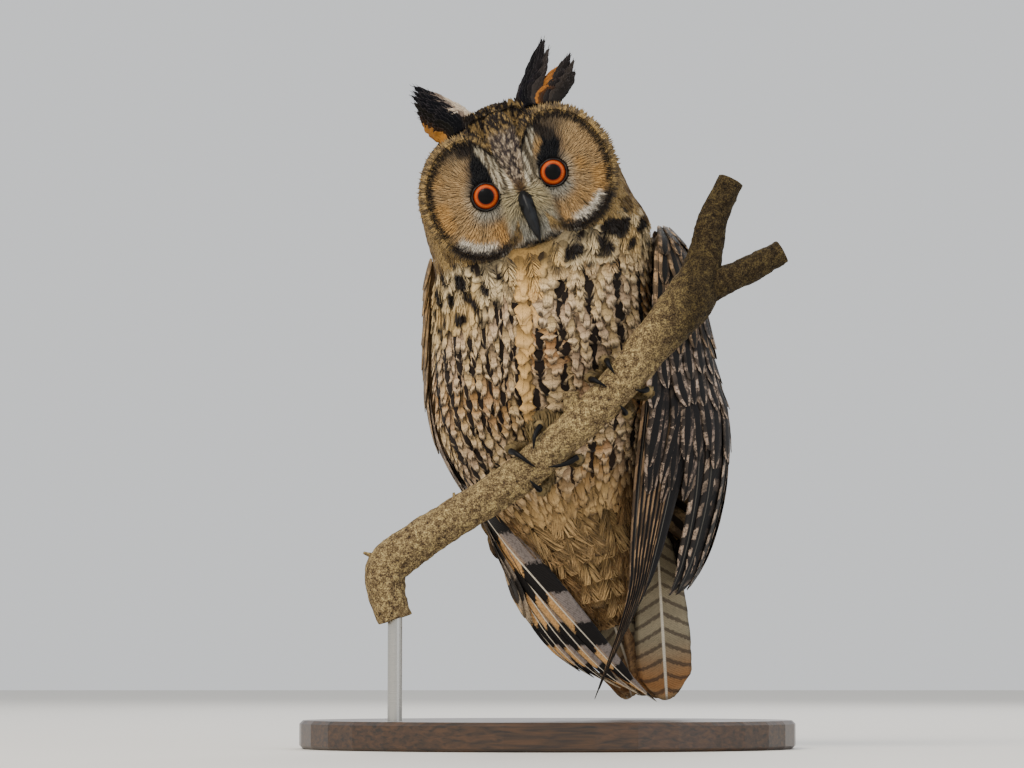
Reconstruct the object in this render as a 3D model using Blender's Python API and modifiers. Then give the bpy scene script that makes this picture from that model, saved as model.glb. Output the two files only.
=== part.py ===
"""A long-eared owl at life size, perched on a short cut length of branch over a plain display stand.

Run with: blender --background --python part.py
Units are metres, +Z is up, the owl faces -Y, and +X is the owl's left side.
The origin is the centre of the stand's underside.
"""

import math
import random

import bmesh
import bpy
import numpy as np
from mathutils import Vector

mm = 0.001
GAP = 0.3 * mm  # clearance kept between pieces that touch
SHARP_ANGLE = math.radians(40)

# Driving sizes of the bird
EYE_SPACING = 39.4 * mm
EYE_RADIUS = 9.6 * mm
EYE_CLEAR_RADIUS = EYE_RADIUS + GAP
HEAD_ROLL = math.radians(20)
HEAD_NOD = math.radians(5)
FACE_CENTRE = np.array([-15.9, -67.0, 311.7]) * mm
VANE_THICKNESS = 0.6 * mm

# Driving sizes of the stand
BASE_RADII = (140 * mm, 100 * mm)
BASE_HEIGHT = 16 * mm
BASE_SIDES = 36
BASE_BEVEL = 2 * mm
ROD_RADIUS = 4 * mm
ROD_IN_BRANCH = 12 * mm

# The body as sections along its axis, tail end first, in mm and degrees:
# centre x, y, z, half width, front depth, back depth, roll, squareness of the front
BODY_SECTIONS = np.array(
    [
        [37.0, 22, 69, 5, 4, 3, 17, 2.0],
        [33.5, 20, 80, 13, 9, 9, 17, 2.0],
        [28.0, 17, 94, 18, 12, 14, 16, 2.0],
        [22.0, 14, 110, 26, 17, 21, 15, 2.0],
        [15.0, 10, 127, 34, 23, 29, 14, 2.0],
        [9.0, 6, 144, 43, 31, 36, 14, 2.0],
        [5.0, 3, 159, 51, 38, 42, 14, 2.0],
        [2.0, 0, 175, 58, 43, 46, 14, 2.0],
        [0.0, -3, 194, 64, 49, 49, 14, 2.1],
        [-1.0, -5, 214, 66, 54, 51, 14, 2.1],
        [-2.5, -9, 233, 65, 56, 51, 14, 2.1],
        [-3.0, -14, 252, 64, 53, 50, 14, 2.1],
        [-3.0, -19, 268, 64, 46, 50, 15, 2.1],
        [-4.0, -23, 282, 63, 40, 50, 17, 2.2],
        [-9.7, -26, 296, 60, 37, 49, 19, 2.4],
        [-15.9, -28, 312, 58, 36, 48, 20, 2.6],
        [-21.7, -29, 328, 54.5, 35, 45, 20, 2.5],
        [-26.8, -30, 342, 46, 31, 38, 20, 2.3],
        [-30.0, -30, 351, 34, 24, 28, 20, 2.0],
        [-31.8, -30, 356, 19, 14, 16, 20, 2.0],
        [-32.4, -30, 357.6, 7, 5, 6, 20, 2.0],
    ]
)
TAIL_ROOT = 4.0  # the section numbers at which the body is parted
NECK_ROOT = 10.6
HEAD_ROOT = 12.2
CROWN = len(BODY_SECTIONS) - 1
BODY_SIDES = 28

COLOURS = {
    "buff_plumage": ((0.52, 0.38, 0.24), 0.85, 0.0),
    "flight_feather": ((0.24, 0.18, 0.13), 0.7, 0.0),
    "tuft_feather": ((0.05, 0.045, 0.045), 0.75, 0.0),
    "foot_feather": ((0.60, 0.45, 0.28), 0.85, 0.0),
    "eye": ((0.85, 0.28, 0.04), 0.05, 0.0),
    "horn": ((0.03, 0.03, 0.035), 0.3, 0.0),
    "bark": ((0.23, 0.19, 0.12), 0.9, 0.0),
    "stand_wood": ((0.30, 0.17, 0.09), 0.45, 0.0),
    "stand_steel": ((0.35, 0.35, 0.36), 0.35, 1.0),
}


def clear_scene():
    for thing in list(bpy.data.objects):
        bpy.data.objects.remove(thing)


def named_collection(name):
    made = bpy.data.collections.new(name)
    bpy.context.scene.collection.children.link(made)
    return made


def material(name):
    found = bpy.data.materials.get(name)
    if found:
        return found
    colour, roughness, metallic = COLOURS[name]
    made = bpy.data.materials.new(name)
    made.use_nodes = True
    shader = made.node_tree.nodes["Principled BSDF"]
    shader.inputs["Base Color"].default_value = (*colour, 1.0)
    shader.inputs["Roughness"].default_value = roughness
    shader.inputs["Metallic"].default_value = metallic
    made.diffuse_color = (*colour, 1.0)
    return made


def mesh_object(name, points, faces):
    mesh = bpy.data.meshes.new(name)
    mesh.from_pydata([tuple(map(float, p)) for p in points], [], faces)
    work = bmesh.new()
    work.from_mesh(mesh)
    bmesh.ops.recalc_face_normals(work, faces=work.faces)
    work.to_mesh(mesh)
    work.free()
    made = bpy.data.objects.new(name, mesh)
    bpy.context.scene.collection.objects.link(made)
    return made


def evaluated_mesh(thing):
    bpy.context.view_layer.update()
    graph = bpy.context.evaluated_depsgraph_get()
    return bpy.data.meshes.new_from_object(thing.evaluated_get(graph))


def apply_modifiers(thing):
    mesh = evaluated_mesh(thing)
    thing.modifiers.clear()
    thing.data = mesh


def keep_largest_body(thing):
    """Leaves only the closed surface that encloses the most."""
    work = bmesh.new()
    work.from_mesh(thing.data)
    bmesh.ops.triangulate(work, faces=work.faces)
    left = set(work.faces)
    bodies = []
    while left:
        seed = left.pop()
        body, edge_of = {seed}, [seed]
        while edge_of:
            face = edge_of.pop()
            for edge in face.edges:
                for other in edge.link_faces:
                    if other in left:
                        left.discard(other)
                        body.add(other)
                        edge_of.append(other)
        volume = sum(
            f.verts[0].co.dot(f.verts[1].co.cross(f.verts[2].co)) for f in body
        )
        bodies.append((abs(volume), body))
    bodies.sort(key=lambda b: b[0])
    for _, body in bodies[:-1]:
        bmesh.ops.delete(work, geom=list(body), context="FACES")
    loose = [v for v in work.verts if not v.link_faces]
    bmesh.ops.delete(work, geom=loose, context="VERTS")
    work.to_mesh(thing.data)
    work.free()


def boolean(thing, others, operation):
    """Joins or cuts thing by closed mesh objects, which are then removed."""
    group = named_collection(thing.name + " " + operation.lower())
    for other in others:
        for old in list(other.users_collection):
            old.objects.unlink(other)
        group.objects.link(other)
    change = thing.modifiers.new(operation, "BOOLEAN")
    change.operation = operation
    change.operand_type = "COLLECTION"
    change.collection = group
    change.solver = "EXACT"
    change.use_self = True
    apply_modifiers(thing)
    for other in list(group.objects):
        bpy.data.objects.remove(other)
    bpy.data.collections.remove(group)
    keep_largest_body(thing)
    return thing


def finish(thing, name, slot, parts):
    thing.name = name
    thing.data.name = name
    thing.data.materials.clear()
    thing.data.materials.append(material(slot))
    for old in list(thing.users_collection):
        old.objects.unlink(thing)
    parts.objects.link(thing)
    thing.data.shade_smooth()
    thing.data.set_sharp_from_angle(angle=SHARP_ANGLE)
    return thing


# Curves through rows of a table


def through(rows, at):
    """Catmull-Rom curve through the rows of a table, at a row number that may be a fraction."""
    rows = np.asarray(rows, float)
    last = len(rows) - 1
    at = min(max(float(at), 0.0), float(last))
    i = min(int(at), last - 1)
    f = at - i
    before, a = rows[max(i - 1, 0)], rows[i]
    b, after = rows[i + 1], rows[min(i + 2, last)]
    return 0.5 * (
        2 * a
        + (b - before) * f
        + (2 * before - 5 * a + 4 * b - after) * f**2
        + (3 * a - before - 3 * b + after) * f**3
    )


def unit(v):
    return v / np.linalg.norm(v)


# Body: one form from tail root to crown, parted by flat cuts


def body_frame(at):
    x, y, z, half, front, back, roll, square = through(BODY_SECTIONS, at)
    turn = math.radians(roll)
    right = np.array([math.cos(turn), 0, math.sin(turn)])
    up = np.array([-math.sin(turn), 0, math.cos(turn)])
    return np.array([x, y, z]) * mm, right, up, half * mm, front * mm, back * mm, square


def body_point(at, angle, grow=0.0):
    """A point of the body's surface; the angle runs from the front, 0, towards +X."""
    centre, right, _, half, front, back, square = body_frame(at)
    side, fore = math.sin(angle), math.cos(angle)
    power = 2 / square if fore > 0 else 1.0
    depth = (front if fore > 0 else back) + grow
    across = math.copysign(abs(side) ** power, side) * (half + grow)
    return centre + right * across + np.array([0, -1, 0]) * math.copysign(abs(fore) ** power, fore) * depth


def body_length(name, start, end, rings, around, grow=0.0, shift=0.0):
    """The body between two section numbers, closed by flat caps."""
    points = []
    for at in np.linspace(start, end, rings):
        lift = body_frame(at)[2] * shift
        points += [body_point(at, 2 * math.pi * k / around, grow) + lift for k in range(around)]
    faces = []
    for i in range(rings - 1):
        for k in range(around):
            j = (k + 1) % around
            a, b = i * around + k, i * around + j
            faces += [(a, b, b + around), (a, b + around, a + around)]
    for first in (0, (rings - 1) * around):
        points.append(np.mean(points[first : first + around], axis=0))
        hub = len(points) - 1
        faces += [(first + k, first + (k + 1) % around, hub) for k in range(around)]
    return mesh_object(name, points, faces)


# Feathers


def vane(path, normals, half_widths, thickness=VANE_THICKNESS, camber=0.06, tilt=0.0):
    """A thin plate along a path: three columns across, ridged on its shaft, with both faces split alike.
    tilt lifts its left edge and lowers its right one, in radians."""
    path, normals = np.asarray(path, float), np.asarray(normals, float)
    along = np.gradient(path, axis=0)
    points = []
    for place, out, ahead, half in zip(path, normals, along, half_widths):
        ahead = unit(ahead)
        side = unit(np.cross(ahead, out))
        out = unit(np.cross(side, ahead))
        side, out = side * math.cos(tilt) - out * math.sin(tilt), out * math.cos(tilt) + side * math.sin(tilt)
        columns = [place + side * half * s - out * camber * half * abs(s) for s in (-1, 0, 1)]
        points += columns + [c - out * thickness for c in reversed(columns)]
    faces = []
    for i in range(len(path) - 1):
        a, b = 6 * i, 6 * (i + 1)
        for k in (0, 1):
            faces += [(a + k, a + k + 1, b + k + 1), (a + k, b + k + 1, b + k)]
            low = 4 - k
            faces += [(a + low + 1, b + low, a + low), (a + low + 1, b + low + 1, b + low)]
        faces += [(a + 2, a + 3, b + 3), (a + 2, b + 3, b + 2)]
        faces += [(a + 5, a, b), (a + 5, b, b + 5)]
    for a in (0, 6 * (len(path) - 1)):
        faces += [(a, a + 1, a + 5), (a + 1, a + 4, a + 5), (a + 1, a + 2, a + 4), (a + 2, a + 3, a + 4)]
    return mesh_object("vane", points, faces)


ROOT_HEIGHT = -2.2  # mm from the wing's surface to a feather's root
WING_CAMBER = 0.09
# Half widths as shares of the widest, root to tip
FEATHER_SHAPES = {
    "long": (0.40, 0.95, 1.0, 0.80, 0.20),
    "round": (0.50, 1.0, 0.90, 0.34),
    "pointed": (0.50, 1.0, 0.75, 0.15),
}


def feather_on(surface, root, tip, half_width, shape, level, tip_lift):
    """A vane laid on a surface: surface(u, v) gives a point and its outward normal; heights are in mm.
    It rises evenly from its root, under the surface, to its tip; level moves the whole vane out."""
    shares = FEATHER_SHAPES[shape]
    path, normals = [], []
    for f in np.linspace(0, 1, len(shares)):
        u = root[0] + (tip[0] - root[0]) * f
        v = root[1] + (tip[1] - root[1]) * f
        place, out = surface(u, v)
        height = ROOT_HEIGHT + (tip_lift - ROOT_HEIGHT) * f + level
        path.append(place + out * height * mm)
        normals.append(out)
    return vane(path, normals, [half_width * s for s in shares], camber=WING_CAMBER)


# Wings: a surface through a front edge, a middle line and a back edge, at falling heights

# z, then x, y of the front edge, of the middle line, and of the back edge, in mm
LEFT_WING = np.array(
    [
        [298, 60, -20, 70, -4, 60, 14],
        [282, 59, -36, 79, -6, 52, 38],
        [256, 57, -43, 87, -4, 44, 54],
        [230, 55, -45, 92, 0, 40, 59],
        [205, 52, -43, 98, 3, 38, 60],
        [184, 50, -40, 103, 6, 38, 60],
        [150, 47, -29, 102, 12, 44, 56],
        [112, 46, -18, 92, 16, 54, 50],
        [88, 46, -14, 78, 12, 58, 42],
        [60, 40, -10, 53, 4, 50, 20],
        [26, 28, -4, 32, 0, 35, 6],
    ]
)
RIGHT_WING = np.array(
    [
        [280, -66, -8, -68.5, 10, -60, 27],
        [264, -68, -4, -69, 22, -54, 45],
        [240, -69, 1, -68, 33, -46, 57],
        [216, -69, 5, -67, 37, -41, 61],
        [192, -67.5, 7, -64, 39, -37, 62],
        [168, -60.5, 8, -56, 39, -32, 60],
        [140, -42, 7, -40, 34, -18, 55],
        [104, -3, 3, -25, 16, -8, 38],
        [66, 35, 9, -5, 13, 4, 26],
        [41, 56, 11, 20, 14, 26, 21],
        [26, 66, 13, 56, 14, 58, 17],
    ]
)


def wing_surface(table, side):
    """Gives surface(u, v): u is 0 at the front edge and 1 at the back, v is the row number."""

    def point(u, v):
        z, fx, fy, ox, oy, bx, by = through(table, v)
        near, mid, far = np.array([fx, fy, z]), np.array([ox, oy, z]), np.array([bx, by, z])
        return ((1 - u) * (1 - 2 * u) * near + 4 * u * (1 - u) * mid + u * (2 * u - 1) * far) * mm

    def surface(u, v):
        step = 0.02
        across = point(u + step, v) - point(u - step, v)
        down = point(u, min(v + step, len(table) - 1)) - point(u, max(v - step, 0))
        out = unit(np.cross(down, across)) * side
        return point(u, v), out

    return surface


def body_axis(height):
    """The point of the body's centre line at a height."""
    at = np.interp(height, BODY_SECTIONS[:, 2] * mm, np.arange(len(BODY_SECTIONS)))
    return body_frame(at)[0]


def wing_pad(name, surface):
    """The arm and its muscle: a curved slab under the coverts, deep towards the body's centre line."""
    rows = columns = PAD_STEPS
    outer, inner = [], []
    for v in np.linspace(*PAD_ROWS, rows):
        for u in np.linspace(0.03, 0.97, columns):
            place, out = surface(u, v)
            outer.append(place - out * 0.4 * mm)
            inner.append(place + unit(body_axis(place[2]) - place) * PAD_DEPTH)
    points = outer + inner
    size = rows * columns
    faces = []
    for i in range(rows - 1):
        for k in range(columns - 1):
            a = i * columns + k
            b = a + columns
            faces += [(a, a + 1, b + 1), (a, b + 1, b)]
            faces += [(size + a, size + b + 1, size + a + 1), (size + a, size + b, size + b + 1)]
    rim = [k for k in range(columns)]
    rim += [i * columns + columns - 1 for i in range(1, rows)]
    rim += [(rows - 1) * columns + k for k in range(columns - 2, -1, -1)]
    rim += [i * columns for i in range(rows - 2, 0, -1)]
    for a, b in zip(rim, rim[1:] + rim[:1]):
        faces += [(a, size + b, b), (a, size + a, size + b)]
    return mesh_object(name, points, faces)


# Each tier: name, count, u of the first and last root, and of their tips, v of the first and last root, and
# of their tips, half width in mm, shape. Flight feathers lie one under the other towards the front edge;
# coverts alternate between two levels.
LEFT_TIERS = [
    ("primaries", 6, (0.05, 0.17), (0.03, 0.075), (4.8, 4.9), (10.0, 8.4), 5.2, "long"),
    ("secondaries", 6, (0.22, 0.92), (0.30, 0.92), (4.4, 4.4), (8.1, 7.6), 9.5, "long"),
    ("greater coverts", 7, (0.09, 0.92), (0.10, 0.92), (3.4, 3.3), (5.6, 5.6), 9.0, "round"),
    ("median coverts", 6, (0.11, 0.90), (0.11, 0.90), (2.4, 2.3), (4.2, 4.2), 9.5, "round"),
    ("lesser coverts", 5, (0.14, 0.87), (0.14, 0.87), (1.3, 1.3), (3.0, 3.0), 10.0, "round"),
    ("scapulars", 4, (0.24, 0.84), (0.20, 0.84), (0.2, 0.2), (1.8, 1.9), 9.5, "round"),
]
RIGHT_TIERS = [
    ("primaries", 5, (0.14, 0.40), (0.08, 0.44), (5.4, 5.4), (9.9, 8.8), 9.0, "long"),
    ("secondaries", 5, (0.46, 0.93), (0.52, 0.92), (4.3, 4.3), (7.9, 7.3), 9.0, "long"),
    ("greater coverts", 5, (0.11, 0.90), (0.11, 0.90), (3.5, 3.4), (5.6, 5.6), 9.5, "round"),
    ("median coverts", 4, (0.17, 0.86), (0.17, 0.86), (2.5, 2.4), (4.2, 4.2), 10.5, "round"),
    ("lesser coverts", 4, (0.18, 0.86), (0.18, 0.86), (1.4, 1.4), (3.0, 3.0), 10.0, "round"),
    ("scapulars", 3, (0.28, 0.80), (0.26, 0.80), (0.2, 0.2), (1.8, 1.9), 9.0, "round"),
]
LEVEL_STEP = 0.95  # mm between feathers that overlap
FLIGHT_LIFT = 0.6  # mm that a flight feather's tip stands out of the wing's surface
COVERT_LIFT = 3.4  # mm, the same for a covert
STAGGER = 0.06  # rows by which a feather may end short or long
PAD_ROWS = (0.1, 5.3)  # the rows of the wing that the arm reaches over
PAD_STEPS = 7
PAD_DEPTH = 12 * mm


def between(ends, f):
    return ends[0] + (ends[1] - ends[0]) * f


def wing_feathers(surface, tiers, last_row, seed):
    chooser = random.Random(seed)
    made = []
    for name, count, u_roots, u_tips, v_roots, v_tips, half, shape in tiers:
        for i in range(count):
            f = i / (count - 1)
            stagger = chooser.uniform(-STAGGER, STAGGER)
            root = (between(u_roots, f), between(v_roots, f))
            tip = (between(u_tips, f), min(between(v_tips, f) + stagger, last_row))
            level = LEVEL_STEP * (i % 2)
            if name == "primaries":
                level = -LEVEL_STEP * (count - 1 - i)
            lift = FLIGHT_LIFT if shape == "long" else COVERT_LIFT
            made.append(feather_on(surface, root, tip, half * mm, shape, level, lift))
    return made


def wing(name, table, tiers, side, parts):
    surface = wing_surface(table, side)
    base = wing_pad(name, surface)
    boolean(base, wing_feathers(surface, tiers, len(table) - 1, 9 + side), "UNION")
    boolean(base, [body_length("clear", 0, CROWN, 26, BODY_SIDES, grow=3 * GAP)], "DIFFERENCE")
    return finish(base, name, "flight_feather", parts)


# Tail

TAIL_START = np.array([24, 18, 112]) * mm
TAIL_TIP = np.array([66, 37, 31]) * mm
TAIL_ROLL = math.radians(22)
TAIL_HALF_WIDTHS = (10 * mm, 25 * mm)  # at its root and at its tip
TAIL_SAG = 5 * mm  # how far the outer feathers lie behind the middle ones
TAIL_PAIRS = 6
RECTRIX_HALF_WIDTH = 11 * mm
RECTRIX_STEP = 1.0  # mm in depth from one feather to the next


def tail_surface(u, v):
    """u runs across the fan, -1 to 1, and v down it, 0 at the root to 1 at the tip."""
    down = unit(TAIL_TIP - TAIL_START)
    across = np.array([math.cos(TAIL_ROLL), 0.0, math.sin(TAIL_ROLL)])
    out = unit(np.cross(down, across))
    sag = np.array([0, TAIL_SAG * u * u, 0])
    place = TAIL_START + (TAIL_TIP - TAIL_START) * v + across * u * between(TAIL_HALF_WIDTHS, v) + sag
    return place, out if out[1] < 0 else -out


def tail(parts):
    base = body_length("tail", 0, TAIL_ROOT, 5, 18, shift=-GAP)
    feathers = []
    for layer in range(TAIL_PAIRS):
        for hand in (-1, 1):
            u_tip = hand * (1.0 - 0.17 * layer)
            place = []
            normals = []
            shares = FEATHER_SHAPES["long"]
            for f in np.linspace(0, 1, len(shares)):
                point, out = tail_surface(u_tip * (0.45 + 0.55 * f), f * (0.95 + 0.01 * layer))
                depth = RECTRIX_STEP * (2 * layer + (hand > 0)) * mm * min(1.0, 3 * f)
                place.append(point - out * depth)
                normals.append(out)
            feathers.append(vane(place, normals, [RECTRIX_HALF_WIDTH * s for s in shares]))
    boolean(base, feathers, "UNION")
    return finish(base, "tail", "flight_feather", parts)


# Head

# The disc round each eye: how far its middle is to the side, and its half widths outwards, inwards, up and
# down
DISC_MIDDLE = 25.0
DISC_OUT, DISC_IN, DISC_UP, DISC_DOWN = 28.0, 22.0, 34.0, 33.0
DISC_SIDES = 18
# From the eye to beyond the rim: share of the way, and height in mm
DISC_PROFILE = [(0.0, -0.5), (0.30, -2.6), (0.62, -3.0), (0.86, 0.2), (0.95, 2.0), (1.03, 1.0), (1.08, -5.0)]
DISC_INNER_RADIUS = 9.8
DISC_BENDS = (0.0035, 0.0012)  # per mm, how the face curves back to the sides and up and down
EYE_DEPTH = -8.5
LID_RADIUS = 9.4 * mm
LID_THICKNESS = 1.3 * mm
LID_DEPTH = -1.6
# Rounded forms of the face: centre across, ahead and up, then radii, in mm
MIDDLE_FORMS = {
    "forehead": ((0, -6.5, 22), (10, 9, 22)),
    "bridge": ((0, -4, -2), (6.5, 7, 16)),
    "chin": ((0, -7, -29), (17, 7, 8)),
}
BRISTLES = ((8, -3, -17), (8, 7.5, 15))
TUFT_ROOT = (26.0, -24.0, 41.0)
TUFT_DIRECTION = (13.0, -2.0, 34.0)


def head_axes():
    fore = np.array([0, -math.cos(HEAD_NOD), -math.sin(HEAD_NOD)])
    flat_up = np.array([0, -math.sin(HEAD_NOD), math.cos(HEAD_NOD)])
    flat_right = np.array([1.0, 0, 0])
    right = flat_right * math.cos(HEAD_ROLL) + flat_up * math.sin(HEAD_ROLL)
    up = -flat_right * math.sin(HEAD_ROLL) + flat_up * math.cos(HEAD_ROLL)
    return right, fore, up


def on_head(across, ahead, up):
    """A point in the head's own axes, in mm from the middle of the face."""
    right, fore, above = head_axes()
    return FACE_CENTRE + (right * across + fore * ahead + above * up) * mm


def ellipsoid(name, centre, radii, segments=10, rings=7):
    """A ball stretched along the head's own axes; radii are across, fore and up, in mm."""
    work = bmesh.new()
    bmesh.ops.create_uvsphere(work, u_segments=segments, v_segments=rings, radius=1.0)
    mesh = bpy.data.meshes.new(name)
    work.to_mesh(mesh)
    work.free()
    right, fore, up = head_axes()
    for v in mesh.vertices:
        x, y, z = v.co
        offset = right * x * radii[0] - fore * y * radii[1] + up * z * radii[2]
        v.co = Vector(on_head(*centre) + offset * mm)
    made = bpy.data.objects.new(name, mesh)
    bpy.context.scene.collection.objects.link(made)
    return made


def disc_rim(hand, angle):
    """The disc's edge round one eye, in mm from the middle of the face; angle 0 points outwards."""
    across = hand * (DISC_MIDDLE + math.cos(angle) * (DISC_OUT if math.cos(angle) > 0 else DISC_IN))
    up = math.sin(angle) * (DISC_UP if math.sin(angle) > 0 else DISC_DOWN)
    return across, up


def disc_lobe(hand):
    """One half of the facial disc: a dish from the eye's edge out to a raised rim."""
    eye = hand * EYE_SPACING / 2 / mm
    around = DISC_SIDES
    points = []
    for share, height in DISC_PROFILE:
        for k in range(around):
            angle = 2 * math.pi * k / around
            rim_x, rim_z = disc_rim(hand, angle)
            near_x = eye + hand * math.cos(angle) * DISC_INNER_RADIUS
            near_z = math.sin(angle) * DISC_INNER_RADIUS
            across = near_x + (rim_x - near_x) * share
            up = near_z + (rim_z - near_z) * share
            bend = DISC_BENDS[0] * across * across + DISC_BENDS[1] * up * up
            points.append(on_head(across, height - bend, up))
    faces = []
    rows = len(DISC_PROFILE)
    for i in range(rows - 1):
        for k in range(around):
            j = (k + 1) % around
            a, b = i * around + k, i * around + j
            faces += [(a, b, b + around), (a, b + around, a + around)]
    for first, depth in ((0, -7.0), ((rows - 1) * around, -14.0)):
        ring = points[first : first + around]
        hub_place = np.mean(ring, axis=0) + head_axes()[1] * (depth if first else 0.0) * mm
        points.append(hub_place)
        hub = len(points) - 1
        faces += [(first + k, first + (k + 1) % around, hub) for k in range(around)]
    return mesh_object("disc lobe", points, faces)


def eye_place(hand):
    return on_head(hand * EYE_SPACING / 2 / mm, EYE_DEPTH, 0.0)


def ball(name, centre, radius, segments=16, rings=8):
    bpy.ops.mesh.primitive_uv_sphere_add(
        segments=segments, ring_count=rings, radius=radius, location=tuple(centre)
    )
    made = bpy.context.object
    made.name = name
    return made


def lid(hand):
    """The rim of bare lid round the eye."""
    bpy.ops.mesh.primitive_torus_add(
        major_segments=18,
        minor_segments=5,
        major_radius=LID_RADIUS,
        minor_radius=LID_THICKNESS,
        location=(0, 0, 0),
    )
    made = bpy.context.object
    right, fore, up = head_axes()
    centre = on_head(hand * EYE_SPACING / 2 / mm, LID_DEPTH, 0.0)
    for v in made.data.vertices:
        x, y, z = v.co
        v.co = Vector(centre + right * x + up * y + fore * z)
    return made


def tuft_root(hand):
    return np.array(TUFT_ROOT) * (hand, 1, 1)


def tuft_direction(hand):
    return unit(np.array(TUFT_DIRECTION) * (hand, 1, 1))


def cone_between(name, low, high, low_radius, high_radius, flat=0.6, sides=12):
    """A short tapered post between two points in the head's axes, in mm, flattened front to back."""
    low, high = np.asarray(low, float), np.asarray(high, float)
    along = unit(high - low)
    side = unit(np.cross(along, np.array([0, 1.0, 0])))
    front = np.cross(side, along)
    work = bmesh.new()
    bmesh.ops.create_cone(
        work, cap_ends=True, segments=sides, radius1=low_radius, radius2=high_radius, depth=2.0
    )
    mesh = bpy.data.meshes.new(name)
    work.to_mesh(mesh)
    work.free()
    for v in mesh.vertices:
        x, y, z = v.co
        centre = low + (high - low) * (z + 1) / 2
        v.co = Vector(on_head(*(centre + side * x - front * y * flat)))
    made = bpy.data.objects.new(name, mesh)
    bpy.context.scene.collection.objects.link(made)
    return made


def head(parts):
    made = body_length("head", HEAD_ROOT, CROWN, 9, BODY_SIDES, shift=2 * GAP)
    pieces = [disc_lobe(-1), disc_lobe(1)]
    pieces += [ellipsoid(name, *form) for name, form in MIDDLE_FORMS.items()]
    for hand in (-1, 1):
        (across, ahead, up), radii = BRISTLES
        pieces.append(ellipsoid("bristles", (hand * across, ahead, up), radii))
        pieces.append(lid(hand))
        root, along = tuft_root(hand), tuft_direction(hand)
        pieces.append(cone_between("tuft mound", root - along * 12, root, 12, 8))
    boolean(made, pieces, "UNION")
    holes = [ball("socket", eye_place(hand), EYE_CLEAR_RADIUS) for hand in (-1, 1)]
    holes += [bill_form("bill seat", rows, GAP) for rows in (UPPER_BILL, LOWER_BILL)]
    boolean(made, holes, "DIFFERENCE")
    return finish(made, "head", "buff_plumage", parts)


# Rows of each half of the bill from its base to its point: ahead, up, half width and half depth, in mm
UPPER_BILL = [
    (-12, -7, 3.8, 4.4),
    (-1, -8, 4.0, 4.6),
    (3, -13, 3.9, 4.4),
    (5.2, -20, 3.3, 3.8),
    (5.0, -27, 2.2, 2.7),
    (3.4, -32, 1.0, 1.3),
    (2.2, -34.4, 0.4, 0.5),
]
LOWER_BILL = [
    (-12, -15, 3.2, 3.0),
    (-2, -18, 3.2, 3.0),
    (1.2, -23, 2.6, 2.6),
    (2.0, -28, 1.3, 1.5),
    (2.0, -30, 0.5, 0.6),
]
BILL_SIDES = 12
NOSTRIL = ((3.9, 4.6, -13.5), (1.1, 1.0, 1.5))  # centre and radii, in mm


def bill_form(name, rows, grow=0.0):
    """One half of the bill: ellipses along a bent line in the plane between the eyes."""
    clear = grow / mm
    sides = BILL_SIDES
    points = []
    for i, (ahead, up, wide, deep) in enumerate(rows):
        before, after = np.array(rows[max(i - 1, 0)][:2]), np.array(rows[min(i + 1, len(rows) - 1)][:2])
        along = unit(after - before)
        out = np.array([-along[1], along[0]])
        for k in range(sides):
            angle = 2 * math.pi * k / sides
            offset = out * math.cos(angle) * (deep + clear)
            points.append(on_head(math.sin(angle) * (wide + clear), ahead + offset[0], up + offset[1]))
    faces = []
    for i in range(len(rows) - 1):
        for k in range(sides):
            j = (k + 1) % sides
            a, b = i * sides + k, i * sides + j
            faces += [(a, b, b + sides), (a, b + sides, a + sides)]
    faces += [tuple(range(sides)), tuple(range((len(rows) - 1) * sides, len(rows) * sides))]
    return mesh_object(name, points, faces)


def bill(parts):
    """The two halves, parted by the line of the mouth, with a nostril on each side of the upper one."""
    lower = bill_form("bill_lower", LOWER_BILL)
    boolean(lower, [bill_form("clear of upper", UPPER_BILL, GAP)], "DIFFERENCE")
    finish(lower, "bill_lower", "horn", parts)
    upper = bill_form("bill_upper", UPPER_BILL)
    (across, ahead, up), radii = NOSTRIL
    nostrils = [ellipsoid("nostril", (hand * across, ahead, up), radii, 8, 6) for hand in (-1, 1)]
    boolean(upper, nostrils, "DIFFERENCE")
    finish(upper, "bill_upper", "horn", parts)


# Where the ear tufts' feathers end, across and up in the head's axes, in mm; they start in a row at the base
TUFT_TIPS = {
    1: [(33, 64), (43.5, 76), (46, 71), (54, 63), (51, 54)],
    -1: [(-31, 62), (-38, 74), (-42, 76), (-46, 66), (-45, 56)],
}
TUFT_HALF_WIDTH = 4.6 * mm
TUFT_POST_HEIGHT = 4.5


def ear_tuft(name, hand, parts):
    root, along = tuft_root(hand), tuft_direction(hand)
    low = root + along * GAP / mm
    base = cone_between(name, low, low + along * TUFT_POST_HEIGHT, 8.5, 6.5)
    feathers = []
    shares = FEATHER_SHAPES["pointed"]
    for i, (across, up) in enumerate(TUFT_TIPS[hand]):
        f = i / (len(TUFT_TIPS[hand]) - 1) - 0.5
        start = low + along * 3 + np.array([f * 11 * hand, 1.6 * f * hand, -f * 3])
        end = np.array([across, -27.0 + 3 * f, up])
        path, normals = [], []
        for share in np.linspace(0, 1, len(shares)):
            bend = np.array([-hand * 2.0, -1.5, 0]) * math.sin(math.pi * share)
            path.append(on_head(*(start + (end - start) * share + bend)))
            normals.append(head_axes()[1] + head_axes()[0] * hand * -0.4 * f)
        feathers.append(vane(path, normals, [TUFT_HALF_WIDTH * k for k in shares], tilt=hand * 0.3))
    boolean(base, feathers, "UNION")
    clear = body_length("clear", HEAD_ROOT, CROWN, 9, BODY_SIDES, grow=2 * GAP, shift=2 * GAP)
    boolean(base, [clear], "DIFFERENCE")
    return finish(base, name, "tuft_feather", parts)


# Perch: a short cut length of lichened branch that forks

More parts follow.
